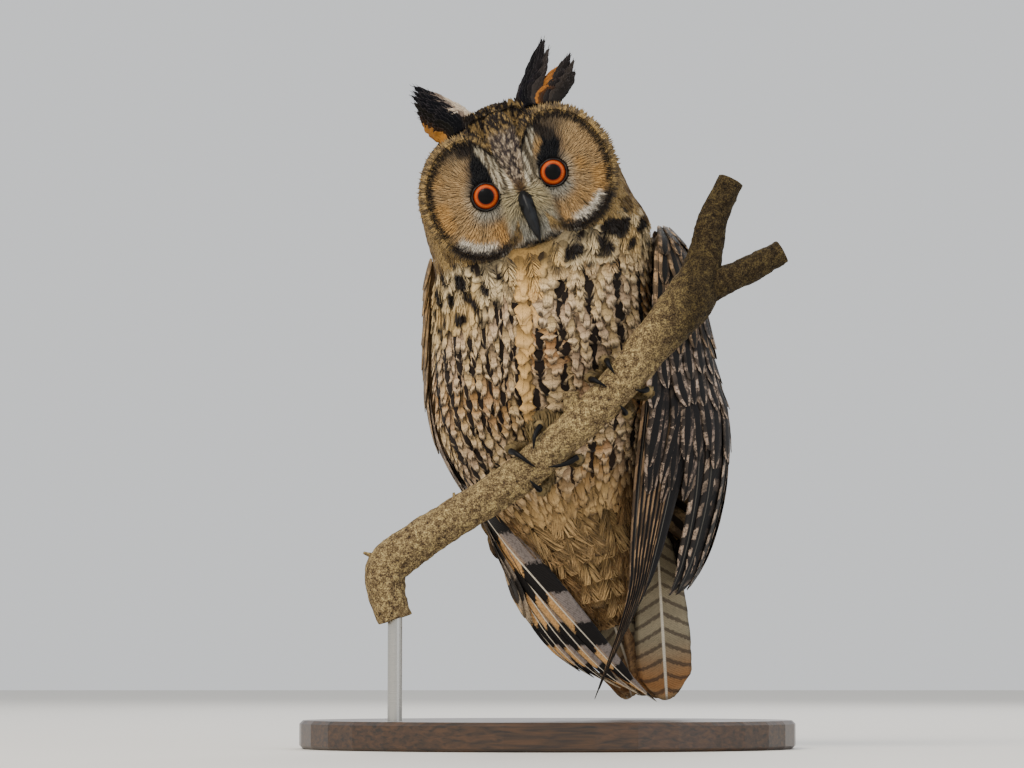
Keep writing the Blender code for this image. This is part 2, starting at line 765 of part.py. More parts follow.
# x, y, z and radius of the branch's centre line, in mm, from its lower cut end
BRANCH_LINE = np.array(
    [
        [-84, -65, 72, 9.5],
        [-89, -65, 88, 10.5],
        [-88, -65, 101, 12.0],
        [-76, -65, 111, 11.5],
        [-57, -65, 124, 10.5],
        [-26, -66, 143, 10.5],
        [5, -68, 168, 10.2],
        [36, -72, 197, 10.5],
        [57, -71, 223, 11.5],
        [78, -68, 248, 14.0],
        [85, -66, 266, 10.5],
        [91, -65, 292, 8.2],
        [101, -64, 314, 7.4],
    ]
)
SIDE_BRANCH_LINE = np.array(
    [[76, -68, 246, 9.0], [92, -67, 256, 8.6], [110, -66, 264, 7.6], [129, -65, 274, 6.8]]
)
STUB_LINE = np.array([[16, -70, 178, 7.0], [13, -71, 188, 5.2], [12.5, -72, 196, 4.6]])


# Short dead spurs, each from its root to its point, with the root's radius
SPURS = np.array(
    [[[-86, -66, 103, 3.4], [-101, -69, 108, 0.8]], [[-50, -64, 128, 2.6], [-52, -62, 141, 0.7]]]
)


def tube(name, rows, steps, resolution=3):
    """A round tube along rows of x, y, z, radius in mm: a bevelled curve turned into a closed mesh."""
    curve = bpy.data.curves.new(name, "CURVE")
    curve.dimensions = "3D"
    curve.bevel_depth = 1.0
    curve.bevel_resolution = resolution
    curve.use_fill_caps = True
    line = curve.splines.new("POLY")
    spots = np.linspace(0, len(rows) - 1, steps)
    line.points.add(steps - 1)
    for point, at in zip(line.points, spots):
        x, y, z, radius = through(rows, at) * mm
        point.co = (x, y, z, 1.0)
        point.radius = radius
    shown = bpy.data.objects.new(name, curve)
    bpy.context.scene.collection.objects.link(shown)
    mesh = evaluated_mesh(shown)
    work = bmesh.new()
    work.from_mesh(mesh)
    bmesh.ops.remove_doubles(work, verts=work.verts, dist=0.00001)
    bmesh.ops.recalc_face_normals(work, faces=work.faces)
    work.to_mesh(mesh)
    work.free()
    made = bpy.data.objects.new(name, mesh)
    made.matrix_world = shown.matrix_world
    bpy.context.scene.collection.objects.link(made)
    bpy.data.objects.remove(shown)
    return made


def perch(parts):
    made = tube("perch_branch", BRANCH_LINE, 21, 3)
    offshoots = [tube("side branch", SIDE_BRANCH_LINE, 5, 3), tube("stub", STUB_LINE, 4, 2)]
    offshoots += [tube("spur", spur, 2, 1) for spur in SPURS]
    boolean(made, offshoots, "UNION")
    boolean(made, [rod("rod hole", GAP)], "DIFFERENCE")
    return finish(made, "perch_branch", "bark", parts)


def rod(name, grow=0.0):
    """The stand's rod, from the base up into the branch's lower end."""
    x, y, z, _ = BRANCH_LINE[0] * mm
    low, high = BASE_HEIGHT + GAP - grow, z + ROD_IN_BRANCH + grow
    bpy.ops.mesh.primitive_cylinder_add(
        vertices=20, radius=ROD_RADIUS + grow, depth=high - low, location=(x, y, (low + high) / 2)
    )
    made = bpy.context.object
    made.name = name
    return made


# Legs, feet and claws

# How the two feet hold the branch: row of the branch line at the heel, then for each toe its place along
# the branch and its angle round it at the claw's root and at the claw's point. Lengths are in mm, and
# angles in degrees, where 0 is the branch's back, 90 its top and 180 its front.
FEET = {
    "right": (5.86, [(5, 92, -6, 146), (-17, 94, -12, 192), (9, -95, -6, -140), (-18, -95, -19, -146)]),
    "left": (7.1, [(7, 92, 3, 150), (-9, 94, -6, 160), (9, -95, 4, -130), (-9, -95, -8, -130)]),
}
TOE_RADIUS = 3.3
HEEL_RADIUS = 4.6
BRANCH_ROW_LENGTH = 41  # mm from one row of the branch line to the next, where the feet are
# Along a claw: share of its length, distance from the bark and radius, in mm
CLAW_PROFILE = ((0, 3.4, 2.1), (0.3, 3.7, 1.8), (0.6, 3.3, 1.35), (0.82, 2.2, 0.85), (1, 0.7, 0.3))
CLAW_START = 14  # degrees round the branch from the toe's end to the claw's root
LEGS = {
    "right": [[-3, -26, 184, 17], [-1, -38, 180, 14], [-1, -46, 173, 9.5], [-1, -50, 167, 6]],
    "left": [[28, -18, 208, 15], [30, -34, 207, 12], [33, -46, 205, 8.5], [37, -54, 201, 6]],
}


def on_branch(at, along, angle, clear):
    """A point clear of the bark by a distance, in mm, round the branch line near one of its rows."""
    row = at + along / BRANCH_ROW_LENGTH
    x, y, z, radius = through(BRANCH_LINE, row)
    ahead = unit((through(BRANCH_LINE, row + 0.1) - through(BRANCH_LINE, row - 0.1))[:3])
    behind = unit(np.array([0, 1.0, 0]) - ahead * ahead[1])
    above = np.cross(behind, ahead)
    above = above if above[2] > 0 else -above
    turn = math.radians(angle)
    return np.array([x, y, z]) + (behind * math.cos(turn) + above * math.sin(turn)) * (radius + clear)


def toe_rows(side, number, grow=0.0):
    at, toes = FEET[side]
    along, root, _, _ = toes[number]
    rest = TOE_RADIUS + GAP / mm + 0.2
    rows = [[*on_branch(at, along * 0.1, 0, rest + 1.2), HEEL_RADIUS + grow]]
    for share in (0.3, 0.55, 0.8, 1.0):
        thick = TOE_RADIUS * (1.12 - 0.2 * share) + grow
        rows.append([*on_branch(at, along * (0.1 + 0.9 * share), root * share, rest + 0.3), thick])
    return np.array(rows)


def claw_rows(side, number):
    at, toes = FEET[side]
    along, root, tip_along, tip = toes[number]
    turn = math.copysign(1, root)
    start = root + turn * CLAW_START
    rows = []
    for share, clear, radius in CLAW_PROFILE:
        place = on_branch(at, along + (tip_along - along) * share, start + (tip - start) * share, clear)
        rows.append([*place, radius])
    return np.array(rows)


def toes_of(side, grow=0.0):
    return [tube("toe", toe_rows(side, number, grow), 6, 2) for number in range(4)]


def leg(side, parts):
    made = tube(f"leg_{side}", LEGS[side], 8, 3)
    clear = toes_of(side, GAP / mm)
    clear.append(body_length("clear of body", 2.0, NECK_ROOT, 20, 32, grow=2 * GAP))
    for other in clear:
        boolean(made, [other], "DIFFERENCE")
    return finish(made, f"leg_{side}", "foot_feather", parts)


def foot(side, parts):
    made, *others = toes_of(side)
    boolean(made, others, "UNION")
    for number in range(4):
        claw = tube("claw", claw_rows(side, number), 5, 2)
        boolean(claw, toes_of(side, GAP / mm), "DIFFERENCE")
        finish(claw, f"claw_{side}_{number + 1}", "horn", parts)
    return finish(made, f"foot_{side}", "foot_feather", parts)


# Stand


def stand(parts):
    bpy.ops.mesh.primitive_cylinder_add(
        vertices=BASE_SIDES, radius=1.0, depth=BASE_HEIGHT, location=(0, 0, BASE_HEIGHT / 2)
    )
    base = bpy.context.object
    for v in base.data.vertices:
        v.co.x *= BASE_RADII[0]
        v.co.y *= BASE_RADII[1]
    edge = base.modifiers.new("Rounded edge", "BEVEL")
    edge.width = BASE_BEVEL
    edge.segments = 1
    edge.limit_method = "ANGLE"
    edge.angle_limit = math.radians(50)
    finish(base, "stand_base", "stand_wood", parts)
    finish(rod("stand_rod"), "stand_rod", "stand_steel", parts)


def main():
    clear_scene()
    parts = named_collection("long_eared_owl")
    torso = body_length("torso", TAIL_ROOT, NECK_ROOT, 11, BODY_SIDES)
    finish(torso, "torso", "buff_plumage", parts)
    neck = body_length("neck", NECK_ROOT, HEAD_ROOT, 4, BODY_SIDES, shift=GAP)
    finish(neck, "neck", "buff_plumage", parts)
    head(parts)
    for side, hand in (("left", 1), ("right", -1)):
        finish(ball("eye", eye_place(hand), EYE_RADIUS), f"eye_{side}", "eye", parts)
        ear_tuft(f"ear_tuft_{side}", hand, parts)
    bill(parts)
    wing("wing_left", LEFT_WING, LEFT_TIERS, 1, parts)
    wing("wing_right", RIGHT_WING, RIGHT_TIERS, -1, parts)
    tail(parts)
    perch(parts)
    for side in ("right", "left"):
        leg(side, parts)
        foot(side, parts)
    stand(parts)


main()
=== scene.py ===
import itertools
import math

import bpy
import numpy as np
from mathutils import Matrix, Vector


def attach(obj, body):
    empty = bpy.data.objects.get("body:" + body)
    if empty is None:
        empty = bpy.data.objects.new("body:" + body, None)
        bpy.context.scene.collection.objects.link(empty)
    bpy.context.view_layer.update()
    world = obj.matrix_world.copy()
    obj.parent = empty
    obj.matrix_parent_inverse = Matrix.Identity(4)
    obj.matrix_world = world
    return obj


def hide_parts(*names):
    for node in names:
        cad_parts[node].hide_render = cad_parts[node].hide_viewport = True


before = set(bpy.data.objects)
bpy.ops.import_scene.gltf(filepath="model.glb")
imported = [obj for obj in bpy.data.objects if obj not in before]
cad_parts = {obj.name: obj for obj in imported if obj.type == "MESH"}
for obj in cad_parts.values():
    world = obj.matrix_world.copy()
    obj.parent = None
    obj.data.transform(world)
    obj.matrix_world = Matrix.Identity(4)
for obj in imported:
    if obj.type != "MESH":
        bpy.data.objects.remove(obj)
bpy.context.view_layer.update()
mm = 0.001
print("frame loaded:", len(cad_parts), "nodes")

# The owl faces -Y with its left side at +X. Sizes in the tables are in mm and degrees.

# The body's sections from the tail's root to the crown: x, y, z, half width, front depth, back depth,
# roll, squareness of the front. They are those that the solids have.
bodySections = np.array([
    [37.0, 22, 69, 5, 4, 3, 17, 2.0],
    [33.5, 20, 80, 13, 9, 9, 17, 2.0],
    [28.0, 17, 94, 18, 12, 14, 16, 2.0],
    [22.0, 14, 110, 26, 17, 21, 15, 2.0],
    [15.0, 10, 127, 34, 23, 29, 14, 2.0],
    [9.0, 6, 144, 43, 31, 36, 14, 2.0],
    [5.0, 3, 159, 51, 38, 42, 14, 2.0],
    [2.0, 0, 175, 58, 43, 46, 14, 2.0],
    [0.0, -3, 194, 64, 49, 49, 14, 2.1],
    [-1.0, -5, 214, 66, 54, 51, 14, 2.1],
    [-2.5, -9, 233, 65, 56, 51, 14, 2.1],
    [-3.0, -14, 252, 64, 53, 50, 14, 2.1],
    [-3.0, -19, 268, 64, 46, 50, 15, 2.1],
    [-4.0, -23, 282, 63, 40, 50, 17, 2.2],
    [-9.7, -26, 296, 60, 37, 49, 19, 2.4],
    [-15.9, -28, 312, 58, 36, 48, 20, 2.6],
    [-21.7, -29, 328, 54.5, 35, 45, 20, 2.5],
    [-26.8, -30, 342, 46, 31, 38, 20, 2.3],
    [-30.0, -30, 351, 34, 24, 28, 20, 2.0],
    [-31.8, -30, 356, 19, 14, 16, 20, 2.0],
    [-32.4, -30, 357.6, 7, 5, 6, 20, 2.0],
])
hands = {"left": 1, "right": -1}
headValues = {
    "roll": 20.0,
    "nod": 5.0,
    "faceCentre": (-15.9, -67.0, 311.7),
    "eyeAside": 19.7,
    "eyeDepth": -8.5,
    "eyeRadius": 9.6,
    "lidRadius": 8.2,
}


# Small tools for arrays


def unit(v):
    # each vector divided by its own length
    return v / np.maximum(np.linalg.norm(v, axis=-1, keepdims=True), 1e-12)


def smooth(low, high, x):
    # 0 below low, 1 above high and 3t^2 - 2t^3 between; it falls instead where low is above high
    t = np.clip((np.asarray(x, float) - low) / (high - low), 0, 1)
    return t * t * (3 - 2 * t)


def mix(a, b, share):
    # a where share is 0, b where it is 1; share gets a last axis for colours
    share = np.asarray(share)[..., None]
    return a * (1 - share) + b * share


def wrapped(angle):
    # an angle brought between -pi and pi
    return np.angle(np.exp(1j * angle))


def circle(count, start=0.0):
    # a full turn in equal steps, without its end
    return np.linspace(start, start + 2 * math.pi, count + 1)[:-1]


def grid(a, b):
    # two tables that pair every value of a with every value of b
    return np.meshgrid(a, b, indexing="ij")


def gridPlaces(rows, columns):
    # the row and the column number of each cell of a grid
    return [g.ravel() for g in grid(np.arange(rows), np.arange(columns))]


def linear(code):
    # an sRGB hex colour as the three linear numbers that Blender's sockets take
    parts = np.array([int(code[i : i + 2], 16) / 255 for i in (1, 3, 5)])
    return np.where(parts <= 0.04045, parts / 12.92, ((parts + 0.055) / 1.055) ** 2.4)


def cellNumber(cells, seed):
    # a repeatable number from 0 to 1 for each whole-number cell: the fraction left by a large sine
    waves = np.sin(cells @ np.array([12.9898, 78.233, 37.719]) + seed * 4.137) * 43758.5453
    return waves - np.floor(waves)


def softNoise(points, size, seed=0):
    # value noise: the numbers of a cell's eight corners, blended by smooth steps; size is a cell's width
    scaled = points / size
    base = np.floor(scaled)
    f = scaled - base
    f = f * f * (3 - 2 * f)
    total = 0
    for corner in itertools.product((0, 1), repeat=3):
        weight = np.prod(np.where(np.array(corner) > 0, f, 1 - f), axis=-1)
        total = total + weight * cellNumber(base + np.array(corner), seed)
    return total


def through(rows, at):
    # Catmull-Rom curve through a table's rows at row numbers that may be fractions
    rows = np.asarray(rows, float)
    last = len(rows) - 1
    at = np.clip(np.asarray(at, float), 0, last)
    i = np.minimum(at.astype(int), last - 1)
    f = (at - i)[..., None]
    before, a = rows[np.maximum(i - 1, 0)], rows[i]
    b, after = rows[i + 1], rows[np.minimum(i + 2, last)]
    cubic = (2 * before - 5 * a + 4 * b - after) * f**2 + (3 * a - before - 3 * b + after) * f**3
    return 0.5 * (2 * a + (b - before) * f + cubic)


# Meshes from arrays


def meshPiece(name, points, faces, uvMaps=None, attributes=None):
    # points is (n, 3); faces is a list of index arrays, one for each number of corners;
    # uvMaps and attributes hold one row for each point
    mesh = bpy.data.meshes.new(name)
    corners = np.concatenate([f.ravel() for f in faces])
    sizes = np.concatenate([np.full(len(f), f.shape[1]) for f in faces])
    starts = np.concatenate([[0], np.cumsum(sizes)[:-1]])
    mesh.vertices.add(len(points))
    mesh.vertices.foreach_set("co", np.asarray(points, np.float32).ravel())
    mesh.loops.add(len(corners))
    mesh.loops.foreach_set("vertex_index", corners.astype(np.int32))
    mesh.polygons.add(len(sizes))
    mesh.polygons.foreach_set("loop_start", starts.astype(np.int32))
    mesh.update(calc_edges=True)
    mesh.polygons.foreach_set("use_smooth", np.ones(len(sizes), bool))
    for mapName, uv in (uvMaps or {}).items():
        layer = mesh.uv_layers.new(name=mapName)
        layer.uv.foreach_set("vector", uv[corners].astype(np.float32).ravel())
    for key, values in (attributes or {}).items():
        layer = mesh.attributes.new(key, "FLOAT_VECTOR", "POINT")
        layer.data.foreach_set("vector", values.astype(np.float32).ravel())
    mesh.validate()
    made = bpy.data.objects.new(name, mesh)
    bpy.context.scene.collection.objects.link(made)
    return made


def bareSkin(name, points, faces, colour, uv, dark=0.5):
    # skin under the coat: it takes a feather's material at the middle of the vane, with hardly any marks
    return meshPiece(name, points, faces, {"vane": uv * 0 + 0.5, "OFBake": uv},
                     {"base": colour, "mark": colour * dark, "pattern": colour * 0, "texture": colour * 0})


def gridFaces(rows, columns, around=True, first=0):
    # quads between neighbouring rows of a grid; around joins the last column to the first
    r, c = grid(np.arange(rows - 1), np.arange(columns if around else columns - 1))
    n = (c + 1) % columns
    quads = np.stack([r * columns + c, r * columns + n, (r + 1) * columns + n, (r + 1) * columns + c], -1)
    return quads.reshape(-1, 4) + first


def tubeFaces(rings, sides, turned=False):
    # a closed tube: its wall, and one face over each end; turned faces look the other way
    cap = np.arange(sides)
    faces = [gridFaces(rings, sides), cap[None, ::-1], (cap + (rings - 1) * sides)[None]]
    return [f[:, ::-1] for f in faces] if turned else faces


def squareTo(ahead):
    # two directions square to a line's own and to each other
    side = unit(np.cross(ahead, np.array([0.31, 0.92, 0.12])))
    return side, np.cross(side, ahead)


def tubePoints(rows, steps, sides):
    # rings round a curve through rows of x, y, z, radius: radius times a circle square to the line
    line = through(rows, np.linspace(0, len(rows) - 1, steps))
    centre, radius = line[:, :3], line[:, 3]
    ahead = unit(np.gradient(centre, axis=0))
    side, up = squareTo(ahead)
    angle = circle(sides)
    ring = side[:, None] * np.cos(angle)[:, None] + up[:, None] * np.sin(angle)[:, None]
    return centre[:, None], ring, radius[:, None, None]


def dress(piece, material, slot, *nodes):
    # gives a piece its material, and lets it ride and stand for its nodes; slot is not used
    piece.data.materials.append(material)
    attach(piece, "root")
    if nodes:
        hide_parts(*nodes)
    return piece


# Materials


def feed(node, inputs):
    # a node's inputs, by name or in order: each is a value, an sRGB hex colour, another node's output, or
    # another node, whose first output in use is taken
    for key, value in inputs.items() if isinstance(inputs, dict) else enumerate(inputs):
        if isinstance(value, bpy.types.Node):
            value = next(output for output in value.outputs if output.enabled)
        if isinstance(value, bpy.types.NodeSocket):
            node.id_data.links.new(value, node.inputs[key])
        else:
            node.inputs[key].default_value = (*linear(value), 1.0) if isinstance(value, str) else value


def addNode(tree, kind, inputs=(), operation=None, stops=(), **settings):
    # one node: settings are its own properties, and stops the places and colours of a colour ramp
    node = tree.nodes.new("ShaderNode" + kind)
    if operation:
        node.operation = operation
    for key, value in settings.items():
        setattr(node, key, value)
    while stops and len(node.color_ramp.elements) < len(stops):
        node.color_ramp.elements.new(0.5)
    for n, (spot, code) in enumerate(stops):
        node.color_ramp.elements[n].position = spot
        node.color_ramp.elements[n].color = (*linear(code), 1.0)
    feed(node, inputs)
    return node


def newMaterial(name):
    # a node material, its tree, its Principled shader and its object coordinates in metres
    material = bpy.data.materials.new(name)
    material.use_nodes = True
    tree = material.node_tree
    return material, tree, tree.nodes["Principled BSDF"], addNode(tree, "TexCoord").outputs["Object"]


# The body, and the head's own axes


def bodyPoint(at, angle, lift=0.0):
    # a superellipse section at a row number: across = half |sin|^p and ahead = depth |cos|^p, turned by
    # the section's roll; the angle runs from the front, 0, towards the left side
    x, y, z, half, front, back, roll, square = np.moveaxis(through(bodySections, at), -1, 0)
    turn = np.radians(roll)
    side, fore = np.sin(angle), np.cos(angle)
    power = np.where(fore > 0, 2 / square, 1.0)
    across = np.sign(side) * np.abs(side) ** power * (half + lift)
    ahead = np.sign(fore) * np.abs(fore) ** power * (np.where(fore > 0, front, back) + lift)
    return np.stack([x + np.cos(turn) * across, y - ahead, z + np.sin(turn) * across], -1) * mm


roll, nod = math.radians(headValues["roll"]), math.radians(headValues["nod"])
headFore = np.array([0, -math.cos(nod), -math.sin(nod)])
headRight = np.array([math.cos(roll), -math.sin(nod) * math.sin(roll), math.cos(nod) * math.sin(roll)])
headUp = np.array([-math.sin(roll), -math.sin(nod) * math.cos(roll), math.cos(nod) * math.cos(roll)])
faceCentre = np.array(headValues["faceCentre"]) * mm


def onHead(across, ahead, up):
    # a point given in the head's own axes, in mm from the middle of the face
    across, ahead, up = np.broadcast_arrays(across, ahead, up)
    parts = across[..., None] * headRight + ahead[..., None] * headFore + up[..., None] * headUp
    return faceCentre + parts * mm


def inHead(points):
    # the head's own coordinates, in mm, of points in the row frame
    away = (points - faceCentre) / mm
    return away @ headRight, away @ headFore, away @ headUp


# The face: one height over the plane of the head's own axes

faceValues = {
    "discMiddle": 25.0,
    "discOut": 28.0,
    "discIn": 22.0,
    "discUp": 34.0,
    "discDown": 33.0,
    # share of the way from the lid to the rim, and the dish's height there, in mm
    "dish": [(-0.6, -3.0), (0.0, -0.8), (0.3, -2.8), (0.62, -3.0), (0.86, 0.0), (0.95, 1.6), (1.03, 0.6),
             (1.1, -3.2), (1.25, -9.0), (1.6, -22.0)],
    "bends": (0.0035, 0.0012),
    # centre across, ahead and up, and radii, in mm
    "rounds": [((0, -6.5, 22), (10, 9, 22)), ((0, -4, -2), (6.5, 7, 16)), ((-8, -3, -17), (8, 7.5, 15)),
               ((8, -3, -17), (8, 7.5, 15)), ((0, -7, -29), (17, 7, 8))],
    "blend": 0.9,
}


def discPlace(across, up):
    # round the nearer eye: distance from it, angle (0 outwards, 90 up) and share of the way to the rim,
    # where the rim is the far root of the ray's quadratic with the disc's ellipse
    v = faceValues
    out = np.abs(across) - headValues["eyeAside"]
    far = np.hypot(out, up)
    angle = np.arctan2(up, out)
    c, s = np.cos(angle), np.sin(angle)
    wide = np.where(c > 0, v["discOut"], v["discIn"])
    tall = np.where(s > 0, v["discUp"], v["discDown"])
    shift = headValues["eyeAside"] - v["discMiddle"]
    a = (c / wide) ** 2 + (s / tall) ** 2
    b = 2 * c * shift / wide**2
    rim = (-b + np.sqrt(np.maximum(b * b - 4 * a * ((shift / wide) ** 2 - 1), 0))) / (2 * a)
    lid = headValues["lidRadius"]
    return far, np.degrees(angle), (far - lid) / (rim - lid)


def between(across, up, aside, low, high):
    # true in the middle strip of the face, in mm aside and up
    return (np.abs(across) < aside) & (up > low) & (up < high)


def faceHeight(across, up):
    # the soft maximum, k log(sum(exp(h / k))), of the two dishes and the rounded forms between them
    v = faceValues
    _, _, share = discPlace(across, up)
    spots, heights = np.array(v["dish"]).T
    bend = v["bends"][0] * across**2 + v["bends"][1] * up**2
    found = [np.interp(share, spots, heights) - bend]
    for (cx, cy, cz), (rx, ry, rz) in v["rounds"]:
        inside = 1 - ((across - cx) / rx) ** 2 - ((up - cz) / rz) ** 2
        found.append(np.where(inside > 0, cy + ry * np.sqrt(np.maximum(inside, 0)), cy - 12.0))
    k = v["blend"]
    return k * np.log(sum(np.exp(h / k) for h in found))


def facePoint(across, up):
    # the face's surface: the plane of the head's axes raised by the face's height
    return onHead(across, faceHeight(across, up), up)


def surfaceFrame(surface, a, b, step):
    # a surface's point, its two directions by finite differences, and the unit normal a x b
    point = surface(a, b)
    alongA = (surface(a + step, b) - surface(a - step, b)) / (2 * step)
    alongB = (surface(a, b + step) - surface(a, b - step)) / (2 * step)
    return point, alongA, alongB, unit(np.cross(alongA, alongB))


# Feathers: closed vanes, built many at a time

# Half widths as shares of the widest, from root to tip
outlines = {
    "body": [0.35, 0.72, 0.95, 1.0, 0.93, 0.74, 0.42],
    "hair": [0.7, 1.0, 0.75, 0.15],
    "small": [0.45, 0.95, 1.0, 0.8, 0.4],
    "scallop": [0.5, 0.75, 0.92, 1.0, 1.0, 1.0, 0.95, 0.68],
    "flight": [0.3, 0.55, 0.72, 0.83, 0.91, 0.96, 0.99, 1.0, 1.0, 0.98, 0.94, 0.86, 0.72, 0.45],
    "primary": [0.42, 0.7, 0.92, 1.0, 1.0, 0.95, 0.87, 0.78, 0.68, 0.58, 0.48, 0.38, 0.27, 0.12],
    "covert": [0.4, 0.72, 0.9, 1.0, 1.0, 1.0, 0.95, 0.75],
    "tail": [0.35, 0.55, 0.68, 0.78, 0.85, 0.9, 0.94, 0.97, 1.0, 1.0, 1.0, 0.98, 0.92, 0.72],
    "lock": [0.6, 1.0, 0.85, 0.25],
    "tuft": [0.5, 0.8, 0.95, 1.0, 1.0, 0.92, 0.74, 0.4],
}


def perVane(count, *values):
    # a row of numbers for each vane, each of which may be the same for all
    return np.stack([np.broadcast_to(np.asarray(value, float), count) for value in values], -1)


def perRow(values, count):
    # a look's colour with axes for vanes and rows: one colour, or one for each vane, holds for all its rows
    values = np.asarray(values, float)
    return values if values.ndim > 2 else np.broadcast_to(values, (count, 3))[:, None]


def vanes(name, path, normals, half, outline, columns, look, roots, camber=0.12, ragged=0.0, shaft=0.0,
          thickness=0.25, seed=1, places=None):
    # path and normals are (count, rows, 3): each row is a flat ring of columns over a lowered middle,
    # place + side * u * half * outline - out * camber * u^2 * half; edges draw back by a ragged noise.
    # look holds colours and patterns, for all vanes or for each vane, row and column; roots are the vanes'
    # places on the unwrap, and places, if given, where each row lies in the feather that the vane is part of
    count, rows, _ = path.shape
    v = np.linspace(0, 1, rows)
    spread = np.interp(v, np.linspace(0, 1, len(outline)), outline)
    top = np.linspace(-1, 1, columns)
    u = np.concatenate([top, top[-2:0:-1]])
    under = np.concatenate([np.zeros(columns), np.ones(columns - 2)])
    ahead = unit(np.gradient(path, axis=1))
    side = unit(np.cross(ahead, normals))
    out = np.cross(side, ahead)
    place = np.where(u > 0, u * (1 - shaft), u * (1 + shaft)) + shaft
    chooser = np.random.default_rng(seed)
    notch = 1 - ragged * chooser.random((count, rows, 1)) * np.abs(u)
    width = np.broadcast_to(np.asarray(half, float).reshape(-1, 1, 1), (count, 1, 1)) * mm
    offset = width * spread[None, :, None] * place * notch
    drop = camber * width * spread[None, :, None] * u**2 + under * thickness * mm
    length = np.linalg.norm(path[:, -1] - path[:, 0], axis=-1)[:, None, None]
    fray = ragged * 0.22 * (chooser.random((count, 1, len(u))) - 0.4)
    back = length * (0.1 * u**2 + fray) * v[:, None] ** 6
    points = path[:, :, None] + side[:, :, None] * offset[..., None] - out[:, :, None] * drop[..., None]
    points = points - ahead[:, :, None] * back[..., None]
    size = len(u)
    starts = np.arange(count) * rows * size
    quads = (gridFaces(rows, size)[None] + starts[:, None, None]).reshape(-1, 4)
    cap = np.arange(size)
    caps = np.concatenate([cap[::-1] + starts[:, None], cap + (rows - 1) * size + starts[:, None]])
    vane = np.stack(np.broadcast_arrays((u + 1) / 2, v[:, None]), -1)
    vane = np.broadcast_to(vane, (count, rows, size, 2))
    bake = roots[:, None, None] + (vane - 0.5) * 0.003
    if places is not None:
        vane = np.broadcast_to(places[:, :, None], (count, rows, size, 2))
    ring = np.concatenate([np.arange(columns), np.arange(columns - 2, 0, -1)])
    attributes = {}
    for key, values in look.items():
        values = perRow(values, count)
        values = values[:, :, ring] if values.ndim == 4 else values[:, :, None]
        attributes[key] = np.broadcast_to(values, (count, rows, size, 3)).reshape(-1, 3)
    maps = {"vane": vane.reshape(-1, 2), "OFBake": bake.reshape(-1, 2)}
    piece = meshPiece(name, points.reshape(-1, 3), [quads, caps], maps, attributes)
    triangles = len(quads) * 2 + len(caps) * (size - 2)
    print(f"  {name}: {count} vanes, {triangles} triangles")
    return piece


def locks(name, path, normals, half, outline, number, look, roots, camber=0.1, lock=0.8, start=0.3, sweep=0.3,
          seed=1):
    # loose feathers, each a set of narrow locks that leave its shaft on both sides and sweep towards its
    # tip: at share t of a lock its place is shaft(s) + side * x - out * camber * x^2 / half, where
    # s = s0 + sweep * t and x = half * outline * t^0.8; each lock takes its colours from its place there
    count, rows, _ = path.shape
    chooser = np.random.default_rng(seed)
    first = start + (0.92 - start) * np.linspace(0, 1, number) ** 0.9
    hand = np.where(np.arange(number) % 2 == 0, 1.0, -1.0)
    t = np.linspace(0, 1, 4)
    s0 = first + chooser.uniform(-0.03, 0.03, (count, number))
    s = np.clip(s0[..., None] + sweep * t * chooser.uniform(0.8, 1.2, (count, number, 1)), 0, 1.06)
    spread = np.interp(np.clip(s[..., -1:], 0, 1), np.linspace(0, 1, len(outline)), outline)
    wide = spread * chooser.uniform(0.72, 1.08, (count, number, 1))
    wide = wide * np.clip((1.12 - s0[..., None]) * 3, 0.1, 1)
    x = (hand[:, None] * wide) * (0.06 + 0.94 * t**0.8)
    at = np.clip(s, 0, 1) * (rows - 1)
    i = np.minimum(at.astype(int), rows - 2)
    f = (at - i)[..., None] + (s - np.clip(s, 0, 1))[..., None] * (rows - 1)
    feather = np.arange(count)[:, None, None]
    spot = path[feather, i] * (1 - f) + path[feather, i + 1] * f
    ahead = unit(path[feather, i + 1] - path[feather, i])
    out = unit(normals[feather, i])
    side = np.cross(ahead, out)
    size = np.broadcast_to(np.asarray(half, float).reshape(-1, 1, 1, 1), (count, 1, 1, 1)) * mm
    rise = chooser.uniform(-0.35, 0.35, (count, number, 1, 1)) * mm * t[:, None]
    spot = spot + side * x[..., None] * size - out * (camber * (x**2)[..., None] * size - rise)
    places = np.stack([(x + 1) / 2, s], -1).reshape(-1, 4, 2)
    total = count * number
    out = np.broadcast_to(out, spot.shape).reshape(total, 4, 3)
    parts = {}
    for key, values in look.items():
        values = perRow(values, count)
        parts[key] = values[feather, np.minimum(i, values.shape[1] - 1)].reshape(total, 4, 3)
    if "spots" in parts:
        share = parts.pop("spots")[..., 0] * neckSpots(spot.reshape(total, 4, 3))
        parts["base"] = mix(parts["base"], parts["mark"] * 0.7, share)
    if "tip" in parts:
        parts["base"] = mix(parts["base"], parts.pop("tip"), smooth(0.5, 0.95, places[..., 1]) * 0.85)
    parts["base"] = parts["base"] * chooser.uniform(0.86, 1.12, (total, 1, 1))
    halves = lock * chooser.uniform(0.8, 1.2, total)
    return vanes(name, spot.reshape(total, 4, 3), out, halves, outlines["lock"], 3, parts,
                 np.repeat(roots, number, axis=0), camber=0.3, ragged=0.15, thickness=0.15, seed=seed + 1,
                 places=places)


